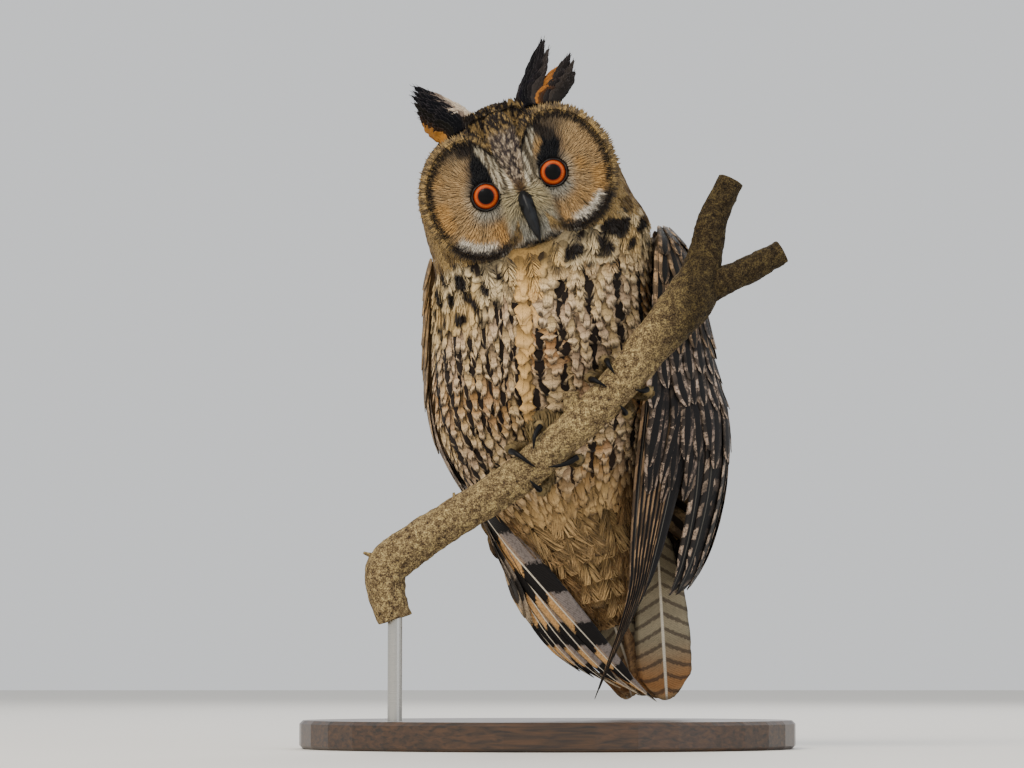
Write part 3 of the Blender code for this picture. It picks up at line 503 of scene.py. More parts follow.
def layOn(at, angle, flow, length, lift):
    # vanes that follow the body: flow, a direction in space, is solved into the body's own two directions by
    # least squares, and each of nine rows stands lift[0] to lift[1] mm out of it
    _, alongA, alongB, _ = surfaceFrame(bodyPoint, at, angle, 0.02)
    aa, ab, bb = (alongA**2).sum(-1), (alongA * alongB).sum(-1), (alongB**2).sum(-1)
    fa, fb = (flow * alongA).sum(-1), (flow * alongB).sum(-1)
    det = np.maximum(aa * bb - ab * ab, 1e-14)
    da, db = (fa * bb - fb * ab) / det, (fb * aa - fa * ab) / det
    f = np.linspace(0, 1, 9)
    v = f * length[:, None] * mm
    pathA, pathB = at[:, None] + da[:, None] * v, angle[:, None] + db[:, None] * v
    points, _, _, normals = surfaceFrame(bodyPoint, pathA, pathB, 0.02)
    height = lift[0][:, None] * (1 - f) + lift[1][:, None] * f
    return points - normals * height[..., None] * mm, -normals, pathA


# Markings, which the skin and the coat share: colours and patterns from a place on the bird

palette = {name: linear(code) for name, code in {
    "discBuff": "#a98a60", "discOchre": "#b98f56", "discPale": "#c4a97e", "eyeGrey": "#a69a85",
    "black": "#0b0c10", "smoke": "#4a4038", "brow": "#a8977a", "browPale": "#e0d4ba",
    "forehead": "#3d3431", "foreheadPale": "#a5947e", "bristle": "#a09270", "bristleTip": "#a8a599",
    "white": "#d8d0c0", "rimBlack": "#241d19", "rimBuff": "#b3945f", "crownDark": "#2a211b",
    "nape": "#a88e66", "napeDark": "#4c3823", "neckCream": "#c0ab84", "neckBuff": "#bb9c67",
    "mark": "#231c18", "belly": "#c6a878", "bellyPink": "#b4987a", "bellyOrange": "#a06c34",
    "midline": "#c99f5e", "vent": "#8f6c42", "ventPale": "#b89663", "mantle": "#8a7350",
    "mantleDark": "#2b211a", "foot": "#7f6c48", "featherTip": "#d8bf9a",
}.items()}


def lineDistance(x, z, spots):
    # distance to a bent line: the least of those to its straight pieces, and the share along it
    best, share = np.full(np.shape(x), 1e9), np.zeros(np.shape(x))
    for i, ((ax, az), (bx, bz)) in enumerate(zip(spots[:-1], spots[1:])):
        t = np.clip(((x - ax) * (bx - ax) + (z - az) * (bz - az)) / ((bx - ax) ** 2 + (bz - az) ** 2), 0, 1)
        far = np.hypot(x - ax - t * (bx - ax), z - az - t * (bz - az))
        share = np.where(far < best, (i + t) / (len(spots) - 1), share)
        best = np.minimum(best, far)
    return best, share


faceMarks = {
    # in mm outwards and up from the eye, on the left, 1, and on the right, -1: the dark patch that rises
    # from its inner top edge, and the smoky arc that bends inwards from the patch's top under the rim
    "patch": {1: [(-1.5, 4.0), (1.0, 10.0), (4.5, 16.0), (5.0, 21.0)],
              -1: [(-0.5, 4.0), (-1.2, 11.0), (-2.1, 18.0), (-3.8, 24.0)]},
    "patchWidth": (7.2, 5.8, 4.0),
    "arc": {1: [(5.0, 21.5), (0.0, 26.5), (-7.0, 28.6), (-12.0, 28.0)],
            -1: [(5.0, 27.0), (-3.0, 27.0), (-7.0, 29.0), (-10.5, 30.4)]},
    # in mm aside and up from the middle of the face: the dark line from the disc's foot to the bill's tip
    "foot": [(22.0, -36.5), (14.0, -35.5), (7.0, -32.5), (0.0, -34.5)],
    # in mm aside and up from the middle of the face: the pale brow over each side of the bill
    "brow": [(7.0, -2.0), (8.6, 6.0), (9.4, 15.0), (13.5, 26.0)],
    "browWidth": 3.6,
}


def faceColour(across, up):
    # layers of colour in the face's plane, each laid on by a smooth mask between two places: across, up, far
    # and gaps to a line are in mm, angles round the eye in degrees, and the rim is at a share of 1
    c = palette
    far, angle, share = discPlace(across, up)
    aside, out = np.abs(across), np.abs(across) - headValues["eyeAside"]
    spot = np.stack([across, up, np.zeros_like(across)], -1)
    hand = np.sign(across)
    rays = softNoise(np.stack([angle / 5.0, far / 10.0, hand * 7.0], -1), 1.0, 3)
    broad = softNoise(spot, 9.0, 4)
    fine = softNoise(spot, 1.5, 5)
    colour = mix(c["discBuff"], c["discOchre"], smooth(0.35, 0.75, broad))
    colour = mix(colour, c["discPale"], smooth(15, 75, angle) * smooth(0.35, 0.8, share) * 0.7)
    colour = colour * (0.72 + 0.55 * rays)[..., None]
    lid = headValues["lidRadius"]
    colour = mix(colour, c["eyeGrey"], smooth(7.5, 0.5, far - lid) * 0.7)
    below = smooth(-20, -60, angle) * smooth(-178, -150, angle) * smooth(11.0, 3.0, far - lid)
    colour = mix(colour, c["bristleTip"] * 0.85, below * 0.75)
    # the arc of smoke under the top of the rim, and the dark patch
    arc = smooth(40, 75, angle) * smooth(150, 120, angle) * smooth(0.45, 0.8, share)
    colour = mix(colour, c["smoke"], arc * 0.75)
    left, alongLeft = lineDistance(out, up, faceMarks["patch"][1])
    right, alongRight = lineDistance(out, up, faceMarks["patch"][-1])
    gap, along = np.where(hand > 0, left, right), np.where(hand > 0, alongLeft, alongRight)
    width = np.interp(along, (0, 0.45, 1), faceMarks["patchWidth"]) + (rays - 0.5) * 2.0
    colour = mix(colour, c["smoke"], smooth(width + 5.5, width, gap) * smooth(-3, 4, out) * 0.75)
    colour = mix(colour, c["black"], smooth(width + 1.1, width - 1.0, gap))
    left, right = (lineDistance(out, up, faceMarks["arc"][n])[0] for n in (1, -1))
    gap = np.where(hand > 0, left, right)
    colour = mix(colour, c["smoke"] * 0.45, smooth(4.2, 1.6, gap + (rays - 0.5) * 2))
    # the brow, the forehead between the brows, and the bristles round the bill
    gap, along = lineDistance(aside, up, faceMarks["brow"])
    lines = softNoise(np.stack([aside / 0.8, up / 9.0, hand], -1), 1.0, 6)
    brow = mix(c["brow"] * 0.4, c["browPale"], smooth(0.36, 0.56, lines))
    browWidth = faceMarks["browWidth"]
    colour = mix(colour, brow, smooth(browWidth + 1.2, browWidth - 0.8, gap))
    wedge = smooth(1.0, -1.5, aside - (4.2 + 0.3 * np.maximum(up - 4, 0)))
    wedge = wedge * smooth(-3, 3, up) * smooth(36, 29, up)
    mottle = mix(c["forehead"], c["foreheadPale"], smooth(0.4, 0.7, softNoise(spot, 1.1, 12))) * 1.4
    mottle = mix(mottle, c["black"], smooth(0.58, 0.72, softNoise(spot, 1.0, 8)) * 0.5)
    colour = mix(colour, mottle, wedge)
    beard = smooth(17, 11, aside) * smooth(2, -6, up)
    hairs = softNoise(np.stack([aside / 0.9 + up / 6, up / 12, hand], -1), 1.0, 9)
    pale = mix(c["bristle"], c["bristleTip"] * 1.1, smooth(-14, -30, up))
    colour = mix(colour, pale * (0.6 + 0.6 * hairs)[..., None], beard)
    colour = mix(colour, c["napeDark"], smooth(4.0, 1.5, aside) * smooth(-10, -4, up) * smooth(6, 0, up))
    # the rim: a dark line, a speckled band outside it, and a white crescent over black low down
    pepper = smooth(0.44, 0.58, softNoise(spot, 1.15, 10))[..., None]
    speckle = mix(c["rimBuff"] * 0.95, c["rimBlack"] * 1.6, pepper[..., 0] * 0.8)
    speckle = mix(speckle, c["nape"] * (0.45 + 0.7 * pepper), smooth(1.08, 1.25, share) * 0.7)
    crown = smooth(27, 18, aside) * smooth(24, 31, up)
    high = np.stack([across, up * 0.8, faceHeight(across, up)], -1)
    fleck = smooth(0.5, 0.66, softNoise(high, 1.25, 13))
    speckle = mix(speckle, mix(c["crownDark"] * 0.7, c["rimBuff"] * 0.75, fleck), crown)
    outside = smooth(0.9, 0.94, share) * (aside > 8)
    colour = mix(colour, speckle, np.maximum(outside, smooth(27, 34, up) * smooth(14, 9, aside)))
    top = smooth(-34, -26, angle) * smooth(150, 120, angle)
    line = smooth(0.075, 0.045, np.abs(share - 0.895 + (fine - 0.5) * 0.04))
    colour = mix(colour, c["rimBlack"] * 0.5, line * top)
    low = smooth(-28, -40, angle) * smooth(-112, -92, angle)
    low = low * smooth(1.13, 1.06, share)
    colour = mix(colour, c["rimBlack"], low * smooth(0.82, 0.88, share + (fine - 0.5) * 0.08))
    crescent = smooth(-36, -44, angle) * smooth(-90, -78, angle)
    crescent = crescent * smooth(0.69, 0.74, share) * smooth(0.88, 0.83, share + (fine - 0.5) * 0.1)
    colour = mix(colour, c["white"], crescent * 0.95)
    chin = smooth(20, 14, aside) * smooth(-31, -34, up)
    colour = mix(colour, c["neckBuff"] * (0.8 + 0.4 * fine)[..., None], chin)
    gap, _ = lineDistance(aside, up, faceMarks["foot"])
    colour = mix(colour, c["white"], smooth(3.4, 2.4, gap) * smooth(-36, -33, up) * (aside > 4) * 0.6)
    return mix(colour, c["rimBlack"], smooth(1.9, 0.9, gap + (fine - 0.5)))


def headLook(points):
    # base colour, mark colour and pattern (streak half width, bars' strength, bars) for the head's coat; the
    # masks' places are in mm in the head's own axes
    c = palette
    _, ahead, up = inHead(points)
    n1, n2 = softNoise(points, 0.0032, 21), softNoise(points, 0.012, 22)
    crown = smooth(20, 32, up) * smooth(-75, -50, ahead)
    front = smooth(-34, -14, ahead) * smooth(32, 18, up)
    throat = smooth(-18, -34, up) * smooth(-40, -15, ahead)
    base = mix(c["nape"] * 0.75, c["neckCream"] * 0.9, smooth(0.35, 0.8, n2) * 0.6)
    fleck = smooth(0.45, 0.62, softNoise(points, 0.0024, 25))
    base = mix(base, mix(c["crownDark"] * 0.8, c["rimBuff"] * 0.75, fleck), crown)
    dark = smooth(0.5, 0.62, softNoise(points * (1.0, 1.0, 0.4), 0.0036, 24)) * smooth(-22, -40, ahead)
    base = mix(base, c["napeDark"], dark * 0.85)
    base = mix(base, c["rimBuff"], front)
    base = mix(base, c["neckBuff"], throat)
    base = mix(base, c["napeDark"] * 0.8, smooth(-12, -26, up) * neckSpots(points) * 0.9)
    mark = mix(c["napeDark"], c["crownDark"], np.maximum(crown, throat))
    mark = mix(mark, c["rimBuff"] * 0.35, front)
    streak = 0.3 + 0.35 * crown + 0.2 * throat * (n1 > 0.5) - 0.1 * front
    bars = 0.2 + 0.65 * crown + 0.1 * front - 0.15 * throat
    pattern = np.stack([streak, bars, 2.0 + 0 * n1], -1)
    texture = np.stack([0.35 + 0.5 * crown + 0.1 * front, 0 * n1, cellNumber(points * 9e3, 3)], -1)
    return {"base": base * (0.85 + 0.3 * n1)[..., None], "mark": mark, "pattern": pattern, "texture": texture}


def bodyLook(at, angle, points, streaked):
    # the same for neck, breast, belly, vent and back; streaked is 1 for the columns that carry a dark shaft,
    # and the masks' places are the body's rows and angles from its front, in radians
    c = palette
    turn = np.abs(wrapped(angle))
    n1, n2 = softNoise(points, 0.009, 31), softNoise(points, 0.028, 32)
    n3 = softNoise(points, 0.016, 33)
    # the neck's blotches reach lower on the right half of the breast
    upper = smooth(-0.5, 0.1, at - 11.9 + 1.0 * smooth(0.0, -0.5, angle + 0.2))
    vent = smooth(6.2, 4.6, at)
    back = smooth(1.75, 2.15, turn)
    wide = np.interp(at, (5, 9, 12), (0.02, 0.03, 0.12))
    middle = np.abs(wrapped(angle + 0.16 + 0.12 * (n2 - 0.5)))
    middle = smooth(wide + 0.07, wide, middle) * smooth(4.5, 6.0, at)
    base = mix(c["belly"], c["bellyPink"], smooth(0.35, 0.65, n1))
    base = mix(base, c["bellyOrange"], smooth(0.55, 0.72, n2) * 0.75 * (1 - upper))
    base = mix(base, mix(c["neckCream"], c["neckBuff"], smooth(0.3, 0.7, n3)), upper)
    base = mix(base, mix(c["vent"], c["ventPale"], smooth(0.3, 0.7, n3)), vent)
    base = mix(base, c["midline"], middle * 0.85)
    base = mix(base, mix(c["mantle"], c["bellyPink"] * 0.7, smooth(0.4, 0.7, n1)), back)
    mark = mix(c["mark"], c["napeDark"], vent * 0.7)
    mark = mix(mark, c["mantleDark"], back)
    streak = np.where(streaked > 0.5, 0.42, 0.0)
    streak = streak * (1 - upper) * (1 - vent)
    streak = streak * (1 - back) + 0.4 * back
    streak = streak * (1 - middle)
    # rim: how far each feather's tip edge turns brown, partly its own dark edge and partly a painted shadow
    # line under the tip; half of it sets the bars' strength
    rim = (1 - upper) * (1 - vent) * (1 - 0.85 * middle) * (1 - 0.4 * back)
    pattern = np.stack([streak, 0.5 * rim, 5.6 + 0 * n1], -1)
    texture = np.stack([0.15 + 0.55 * back, 0 * n1, cellNumber(points * 9e3, 4)], -1)
    tip = mix(base * 1.2, c["featherTip"], 0.5 * (1 - upper) * (1 - vent) * (1 - middle) * (1 - back) + 0.12)
    front = (1 - upper) * (1 - vent) * (1 - back)
    # the neck's coat is made 30% brighter: painted light against the shade that the head casts on it
    base = base * ((0.86 + 0.26 * n1) * (1 + 0.3 * upper + 0.14 * front))[..., None]
    tip = tip * (1 + 0.12 * front)[..., None]
    spots = upper * (1 - 0.8 * middle) + 0.6 * vent * smooth(0.42, 0.52, n2)
    return {"base": base, "mark": mark, "pattern": pattern, "texture": texture, "tip": tip, "rim": 0.85 * rim,
            "spots": spots}


neckSpotValues = {
    # in mm: a cell's width and height, and a drop's half width and half height before its own size
    "cell": (7.6, 14.0),
    "half": (2.4, 6.3),
    # the grid's slant, as its sine and cosine, and the neck's radius, in mm, and axis, in metres
    "slant": (0.38, 0.92),
    "radius": 45,
    "axis": (-0.02, 0.012),
}


def neckSpots(points):
    # bold dark drops on the neck, which slant down towards the breast: an ellipse of its own size in each
    # cell of a grid laid round the neck, which soft noise pulls out of line
    v = neckSpotValues
    (wide, tall), (halfWide, halfTall), (lean, rest) = v["cell"], v["half"], v["slant"]
    arc = np.arctan2(points[..., 0] - v["axis"][0], v["axis"][1] - points[..., 1]) * v["radius"]
    side = np.where(arc > 9, 1.0, -1.0)
    up = points[..., 2] / mm
    across = arc * rest - side * up * lean + (softNoise(points, 0.011, 37) - 0.5) * 6
    along = side * arc * lean + up * rest + (softNoise(points, 0.013, 38) - 0.5) * 8
    column = np.floor(across / wide)
    along = along + tall / 2 * (column % 2)
    row = np.floor(along / tall)
    size = 0.75 + 0.45 * cellNumber(np.stack([column, row, side], -1), 9)
    x = (across / wide - column - 0.5) * wide / (halfWide * size)
    y = (along / tall - row - 0.5) * tall / (halfTall * size)
    return smooth(1.15, 0.85, np.sqrt(x**2 + y**2))


# Feather materials

fullTurn = 6.283


def featherMaterial(name, v):
    # keratin vanes: matt, with a soft sheen; the vane map runs across and along each feather, and the
    # attributes give its ground and mark colours, shaft streak, bars and mottling
    material, tree, shader, place = newMaterial(name)
    vane = addNode(tree, "SeparateXYZ", [addNode(tree, "UVMap", uv_map="vane")])
    across = addNode(tree, "Math", [vane, 2.0, -1.0], "MULTIPLY_ADD")
    aside = addNode(tree, "Math", [across], "ABSOLUTE")
    along = vane.outputs[1]
    base, mark, pattern, texture = (addNode(tree, "Attribute", attribute_name=key)
                                    for key in ("base", "mark", "pattern", "texture"))
    sizes = addNode(tree, "SeparateXYZ", [pattern.outputs["Vector"]])
    marks = addNode(tree, "SeparateXYZ", [texture.outputs["Vector"]])
    streakWidth, barStrength, barCount = sizes.outputs
    mottling, shaftPaleness, barPhase = marks.outputs
    noise = addNode(tree, "TexNoise", {"Vector": place, "Scale": v["grain"], "Detail": 3.0, "Roughness": 0.6})
    grain = addNode(tree, "Math", [noise, 0.5], "SUBTRACT")
    # barbs: fine ridges that leave the shaft at a slant
    slant = addNode(tree, "Math", [aside, -v["slant"], along], "MULTIPLY_ADD")
    phase = addNode(tree, "Math", [slant, v["barbs"] * fullTurn], "MULTIPLY")
    wave = addNode(tree, "Math", [phase], "SINE")
    # a drop-shaped streak along the shaft
    taper = addNode(tree, "MapRange", [along, 0.15, 0.8, 0.45, 1.0])
    close = addNode(tree, "MapRange", [along, 0.86, 1.0, 1.0, 0.35])
    width = addNode(tree, "Math", [streakWidth, taper], "MULTIPLY")
    width = addNode(tree, "Math", [width, close], "MULTIPLY")
    frayed = addNode(tree, "Math", [grain, 0.32, width], "MULTIPLY_ADD")
    inside = addNode(tree, "Math", [frayed, aside], "SUBTRACT")
    streak = addNode(tree, "MapRange", [inside, -0.05, 0.05])
    # bars across the vane, bent back towards its edges
    bend = addNode(tree, "Math", [aside, v["barBend"], along], "MULTIPLY_ADD")
    wobble = addNode(tree, "Math", [grain, v["barWobble"], bend], "MULTIPLY_ADD")
    turns = addNode(tree, "Math", [wobble, barCount], "MULTIPLY")
    turns = addNode(tree, "Math", [turns, barPhase], "ADD")
    angle = addNode(tree, "Math", [turns, fullTurn], "MULTIPLY")
    swing = addNode(tree, "Math", [angle], "SINE")
    bar = addNode(tree, "MapRange", [swing, *v["barEdge"]])
    bar = addNode(tree, "Math", [bar, barStrength], "MULTIPLY")
    # mottling: fine dark freckles
    freckle = addNode(tree, "TexNoise", {"Vector": place, "Scale": v["freckle"], "Detail": 1.0})
    dots = addNode(tree, "MapRange", [freckle, 0.52, 0.6])
    dots = addNode(tree, "Math", [dots, mottling], "MULTIPLY")
    most = addNode(tree, "Math", [streak, bar], "MAXIMUM")
    dark = addNode(tree, "Math", [most, dots], "MAXIMUM", use_clamp=True)
    ground = addNode(tree, "Mix", {0: dark, 6: base, 7: mark}, data_type="RGBA")
    # the shaft itself, and the barbs' light and shade
    quill = addNode(tree, "MapRange", [aside, v["quill"], v["quill"] * 0.4])
    quill = addNode(tree, "Math", [quill, shaftPaleness], "MULTIPLY")
    shade = addNode(tree, "Math", [wave, v["barbShade"], 1.0], "MULTIPLY_ADD")
    shade = addNode(tree, "Math", [grain, 0.5, shade], "MULTIPLY_ADD")
    shaft = addNode(tree, "Mix", {0: quill, 6: ground, 7: "#d2c8b4"}, data_type="RGBA")
    colour = addNode(tree, "VectorMath", {0: shaft, "Scale": shade}, "SCALE")
    bump = addNode(tree, "Bump", {"Strength": v["bump"], "Distance": 0.0002, "Height": wave})
    feed(shader, {"Base Color": colour, "Normal": bump, "Roughness": v["roughness"],
                  "Sheen Weight": v["sheen"], "Sheen Roughness": 0.5, "Specular IOR Level": v["specular"]})
    return material


# Contour feathers are loose and matt; flight feathers are firm, with a faint gloss and a hard shaft. Grain
# and freckle are noise cells in a metre: 900 is a cell of 1.1 mm.
downValues = {
    "roughness": 0.9, "sheen": 0.06, "specular": 0.08, "grain": 900.0, "slant": 0.35, "barbs": 14.0,
    "barBend": -0.04, "barWobble": 0.2, "barEdge": (0.62, 0.92), "freckle": 700.0, "quill": 0.05,
    "barbShade": 0.1, "bump": 0.35,
}
vaneValues = {
    "roughness": 0.66, "sheen": 0.03, "specular": 0.22, "grain": 700.0, "slant": 0.12, "barbs": 70.0,
    "barBend": -0.03, "barWobble": 0.035, "barEdge": (-0.15, 0.15), "freckle": 900.0, "quill": 0.07,
    "barbShade": 0.07, "bump": 0.25,
}
# a tail feather's bars are narrower than the ground between them, a covert's are broken up
tailValues = {**vaneValues, "barEdge": (0.45, 0.8), "barBend": -0.09}
covertValues = {**vaneValues, "barEdge": (-0.1, 0.3), "barWobble": 0.3, "grain": 380.0, "freckle": 650.0}
softFeather = featherMaterial("soft contour feather", downValues)
firmFeather = featherMaterial("firm flight feather", vaneValues)
tailFeather = featherMaterial("firm tail feather", tailValues)
covertFeather = featherMaterial("mottled wing covert", covertValues)
print("feather materials made")


# The coat

coatValues = {
    "skinDepth": 3.0,
    "faceSpacing": 0.86,
    # the ruff's rows behind the rim, the feathers in each, and how deep it goes
    "ruff": (11, 165, 26.0),
    "faceHalf": 0.62,
    "headSpacing": (2.0, 1.7),
    # the row where the head's coat begins, and the row at which columns are measured
    "neckRow": 13.2,
    "widest": 9.0,
    "lean": 0.065,
    # dark columns of the front: how far aside, as shares of half the body's width
    "streaks": [-0.95, -0.85, -0.74, -0.62, -0.5, -0.38, -0.27, -0.06, 0.16, 0.42, 0.67, 0.88],
    "backColumns": 11,
    "wideGap": 17.0,
    # length, gap between rows, tip's lift, camber, columns of points, how far their lie wanders, and the
    # number, half width and sweep of barbs, where they are loose; in mm and radians
    "breast": {"under": (22.0, 7.0, -1.5, 0.1, 5, 0.0, None),
               "over": (19.0, 6.4, 0.0, 0.17, 9, 0.16, None),
               "neckUnder": (15.0, 5.0, -0.8, 0.15, 5, 0.2, None),
               "neck": (17.0, 4.6, 0.2, 0.2, 5, 0.3, (20, 0.42, 0.45)),
               "ventUnder": (44.0, 14.0, -0.6, 0.2, 5, 0.3, None),
               "vent": (46.0, 13.0, 0.4, 0.25, 7, 0.6, (40, 0.42, 0.5))},
}


def jittered(low, high, gap, seed):
    # points of a grid whose alternate rows are offset, each moved by a random share of the gap
    chooser = np.random.default_rng(seed)
    a, b = grid(np.arange(low[0], high[0], gap), np.arange(low[1], high[1], gap))
    b = b + (np.arange(a.shape[0])[:, None] % 2) * gap / 2
    move = chooser.uniform(-0.42, 0.42, (2, *a.shape)) * gap
    return (a + move[0]).ravel(), (b + move[1]).ravel()


def faceFlow(across, up):
    # feathers run away from each eye; near the bill they fan out from its base and pass round the eye
    hand = np.where(across >= 0, 1.0, -1.0)
    aside = np.abs(across)
    out = aside - headValues["eyeAside"]
    far = np.hypot(out, up)
    radial = np.stack([out, up], -1) / np.maximum(far, 1e-6)[..., None]
    fan = unit(np.stack([aside * 0.8, up + 4.0 + 1e-6], -1))
    flow = mix(radial, fan, smooth(15.0, 9.0, aside))
    inward = np.minimum((flow * radial).sum(-1), 0) * smooth(15.0, 10.5, far)
    flow = unit(flow - inward[..., None] * radial)
    return flow[..., 0] * hand, flow[..., 1]


def faceRoots(across, up):
    # the face's unwrap is its own plane
    return np.stack([0.02 + (across + 72) / 144 * 0.46, 0.72 + (up + 62) / 128 * 0.26], -1)


def facePiece(name, hand):
    # hair-fine vanes all over one half of the face: each lies along faceFlow from its root and rises from
    # under the skin, by f - 0.55 f^3 at share f of its length
    v = coatValues
    across, up = jittered((0, -40), (57, 46), v["faceSpacing"], 40 + hand)
    across = across * hand
    far, _, share = discPlace(across, up)
    aside = np.abs(across)
    mouth = between(across, up, 2.6, -35, -11)
    lid = headValues["lidRadius"] + 0.1
    inner = between(across, up, 17, -34, 44)
    kept = (far > lid) & ~mouth & (inner | (share < 1.05) & (up > -36))
    across, up, far, share, aside = across[kept], up[kept], far[kept], share[kept], aside[kept]
    chooser = np.random.default_rng(50 + hand)
    da, db = faceFlow(across, up)
    turn = chooser.normal(0, 0.12, len(across))
    da, db = da * np.cos(turn) - db * np.sin(turn), da * np.sin(turn) + db * np.cos(turn)
    beard = smooth(16, 10, aside) * smooth(-1, -8, up)
    length = 3.8 + 4.2 * smooth(10, 22, far) + 3.0 * beard - 2.4 * smooth(0.78, 0.95, share)
    length = length * chooser.uniform(0.85, 1.15, len(across)) - 1.4 * smooth(0.8, 0.95, share)
    f = np.linspace(0, 1, 4)
    reach = f * length[:, None]
    pathA, pathB = across[:, None] + da[:, None] * reach, up[:, None] + db[:, None] * reach
    points, _, _, normals = surfaceFrame(facePoint, pathA, pathB, 0.3)
    tall = (chooser.uniform(0.3, 1.0, len(across)) + 0.5 * beard) * (1 - 0.7 * smooth(0.85, 0.97, share))
    points = points + normals * (-1.5 * (1 - f) + tall[:, None] * (f - 0.55 * f**3) * 1.6)[..., None] * mm
    # the colour is that of the place which each row of the vane covers
    base = faceColour(pathA, pathB)
    tone = chooser.uniform(0.86, 1.12, (len(across), 1, 1))
    look = {"base": base * tone, "mark": base * 0.4, "pattern": (0, 0, 1), "texture": (0, 0, 0)}
    half = v["faceHalf"] * (1 + 0.25 * smooth(9, 5, aside) * smooth(5, 12, up))
    piece = vanes(name, points, normals, half, outlines["hair"], 3, look,
                  faceRoots(across, up), camber=0.25, ragged=0.2, thickness=0.12, seed=60 + hand)
    return dress(piece, softFeather, "buff_plumage")


def ruffSurface(turn, depth):
    # behind the rim: for each direction from the face's middle, the farthest place of the face, carried
    # straight back by depth and drawn in a little
    table = np.linspace(-math.pi, math.pi, 361)
    reach = np.linspace(24, 72, 193)
    across, up = np.cos(table)[:, None] * reach, np.sin(table)[:, None] * reach
    inner = between(across, up, 17, -36, 44)
    far = np.where((discPlace(across, up)[2] < 1.04) | inner, reach, 0).max(axis=1)
    far = np.convolve(np.concatenate([far[-6:-1], far, far[1:6]]), np.full(11, 1 / 11), "valid")
    far = np.interp(wrapped(turn), table, far)
    across, up = far * np.cos(turn), far * np.sin(turn)
    height = faceHeight(across * 0.96, up * 0.96) - coatValues["ruff"][2] * depth
    draw = 1 - 0.04 * depth
    return onHead(across * draw, height, up * draw)


def ruffPiece():
    # feathers that lead back from the face's rim to the head's coat
    rows, number, deep = coatValues["ruff"]
    chooser = np.random.default_rng(66)
    i, j = gridPlaces(rows, number)
    turn = (j + 0.5 * (i % 2) + chooser.uniform(-0.3, 0.3, len(i))) * 2 * math.pi / number - math.pi
    first = (i + chooser.uniform(-0.3, 0.3, len(i))) / rows * 0.8
    share = np.linspace(0, 1, 5)
    depth = np.clip(first[:, None] + share * 8.0 / deep, 0, 1.2)
    points, _, _, normals = surfaceFrame(ruffSurface, turn[:, None] + 0 * depth, depth, 0.01)
    outward = points - onHead(0.0, -10.0, 0.0)
    normals = normals * np.sign((normals * outward).sum(-1, keepdims=True))
    tall = chooser.uniform(-0.2, 0.2, len(i))[:, None]
    path = points + normals * ((-1.6 * (1 - share) + tall * share)[..., None] * mm)
    # the first rows are black under the crescents and speckled elsewhere
    look = headLook(path[:, 3])
    low = smooth(-0.15, -0.45, turn) * smooth(-3.0, -2.7, turn)
    front = smooth(0.34, 0.16, first)
    speck = chooser.random(len(i)) ** 1.3 * smooth(0.7, 0.3, first)
    look["base"] = mix(look["base"], palette["rimBlack"], np.maximum(low * front, speck * 0.9))
    roots = np.stack([0.02 + 0.3 * (turn / math.pi + 1), 0.7 + 0 * turn], -1)
    piece = vanes("ruffCoat", path, normals, 1.3, outlines["small"], 3, look, roots, camber=0.2, ragged=0.2,
                  seed=67)
    return dress(piece, softFeather, "buff_plumage")


def headFlow(points, normals):
    # over the crown the coat turns about the head's side axis, from the bill back to the nape; elsewhere
    # it lies back and down; the sum is laid flat on the surface
    _, ahead, up = inHead(points)
    ahead, up = (ahead + 38) / 40, (up - 2) / 40
    fore = -np.maximum(up, 0) * 1.2
    rise = np.where(ahead > 0, ahead * smooth(-0.2, 0.5, up) - smooth(0.3, -0.3, up), ahead)
    flow = fore[:, None] * headFore + rise[:, None] * headUp
    flow = flow - 0.35 * headFore - 0.35 * headUp * smooth(0.6, 0.0, up)[:, None]
    flow = flow - normals * (flow * normals).sum(-1, keepdims=True)
    return unit(flow)


def bodyRoots(at, angle):
    # the body's unwrap: round it from left to right, along it upwards
    turn = np.mod(angle / (2 * math.pi) + 0.5, 1.0)
    return np.stack([0.01 + 0.98 * turn, 0.01 + at / 20 * 0.68], -1)


def arcRows(first, last, gap):
    # row numbers from first to last whose places on the body's side are a gap apart, in mm
    at = np.linspace(first, last, 400)
    side = bodyPoint(at, np.full(400, math.pi / 2)) / mm
    arc = np.concatenate([[0], np.cumsum(np.linalg.norm(np.diff(side, axis=0), axis=1))])
    return np.interp(np.arange(0, arc[-1], gap), arc, at)


def onFace(points, edge):
    # true where the face's own coat covers a point of the head
    across, ahead, up = inHead(points)
    _, _, share = discPlace(across, up)
    return (ahead > -24) & ((share < edge) | between(across, up, 16, -33, 40))


def spread(rows, gap, seed):
    # for each row, angles a gap apart round the body, in mm, shifted by half a gap in alternate rows
    chooser = np.random.default_rng(seed)
    at, angle = [], []
    for i, row in enumerate(rows):
        ring = bodyPoint(np.full(60, row), np.linspace(0, 2 * math.pi, 60)) / mm
        count = max(6, round(np.linalg.norm(np.diff(ring, axis=0), axis=1).sum() / gap))
        turn = (np.arange(count) + 0.5 * (i % 2)) / count * 2 * math.pi
        at.append(row + chooser.uniform(-0.06, 0.06, count))
        angle.append(turn + chooser.uniform(-0.22, 0.22, count) * 2 * math.pi / count)
    return np.concatenate(at), np.concatenate(angle)


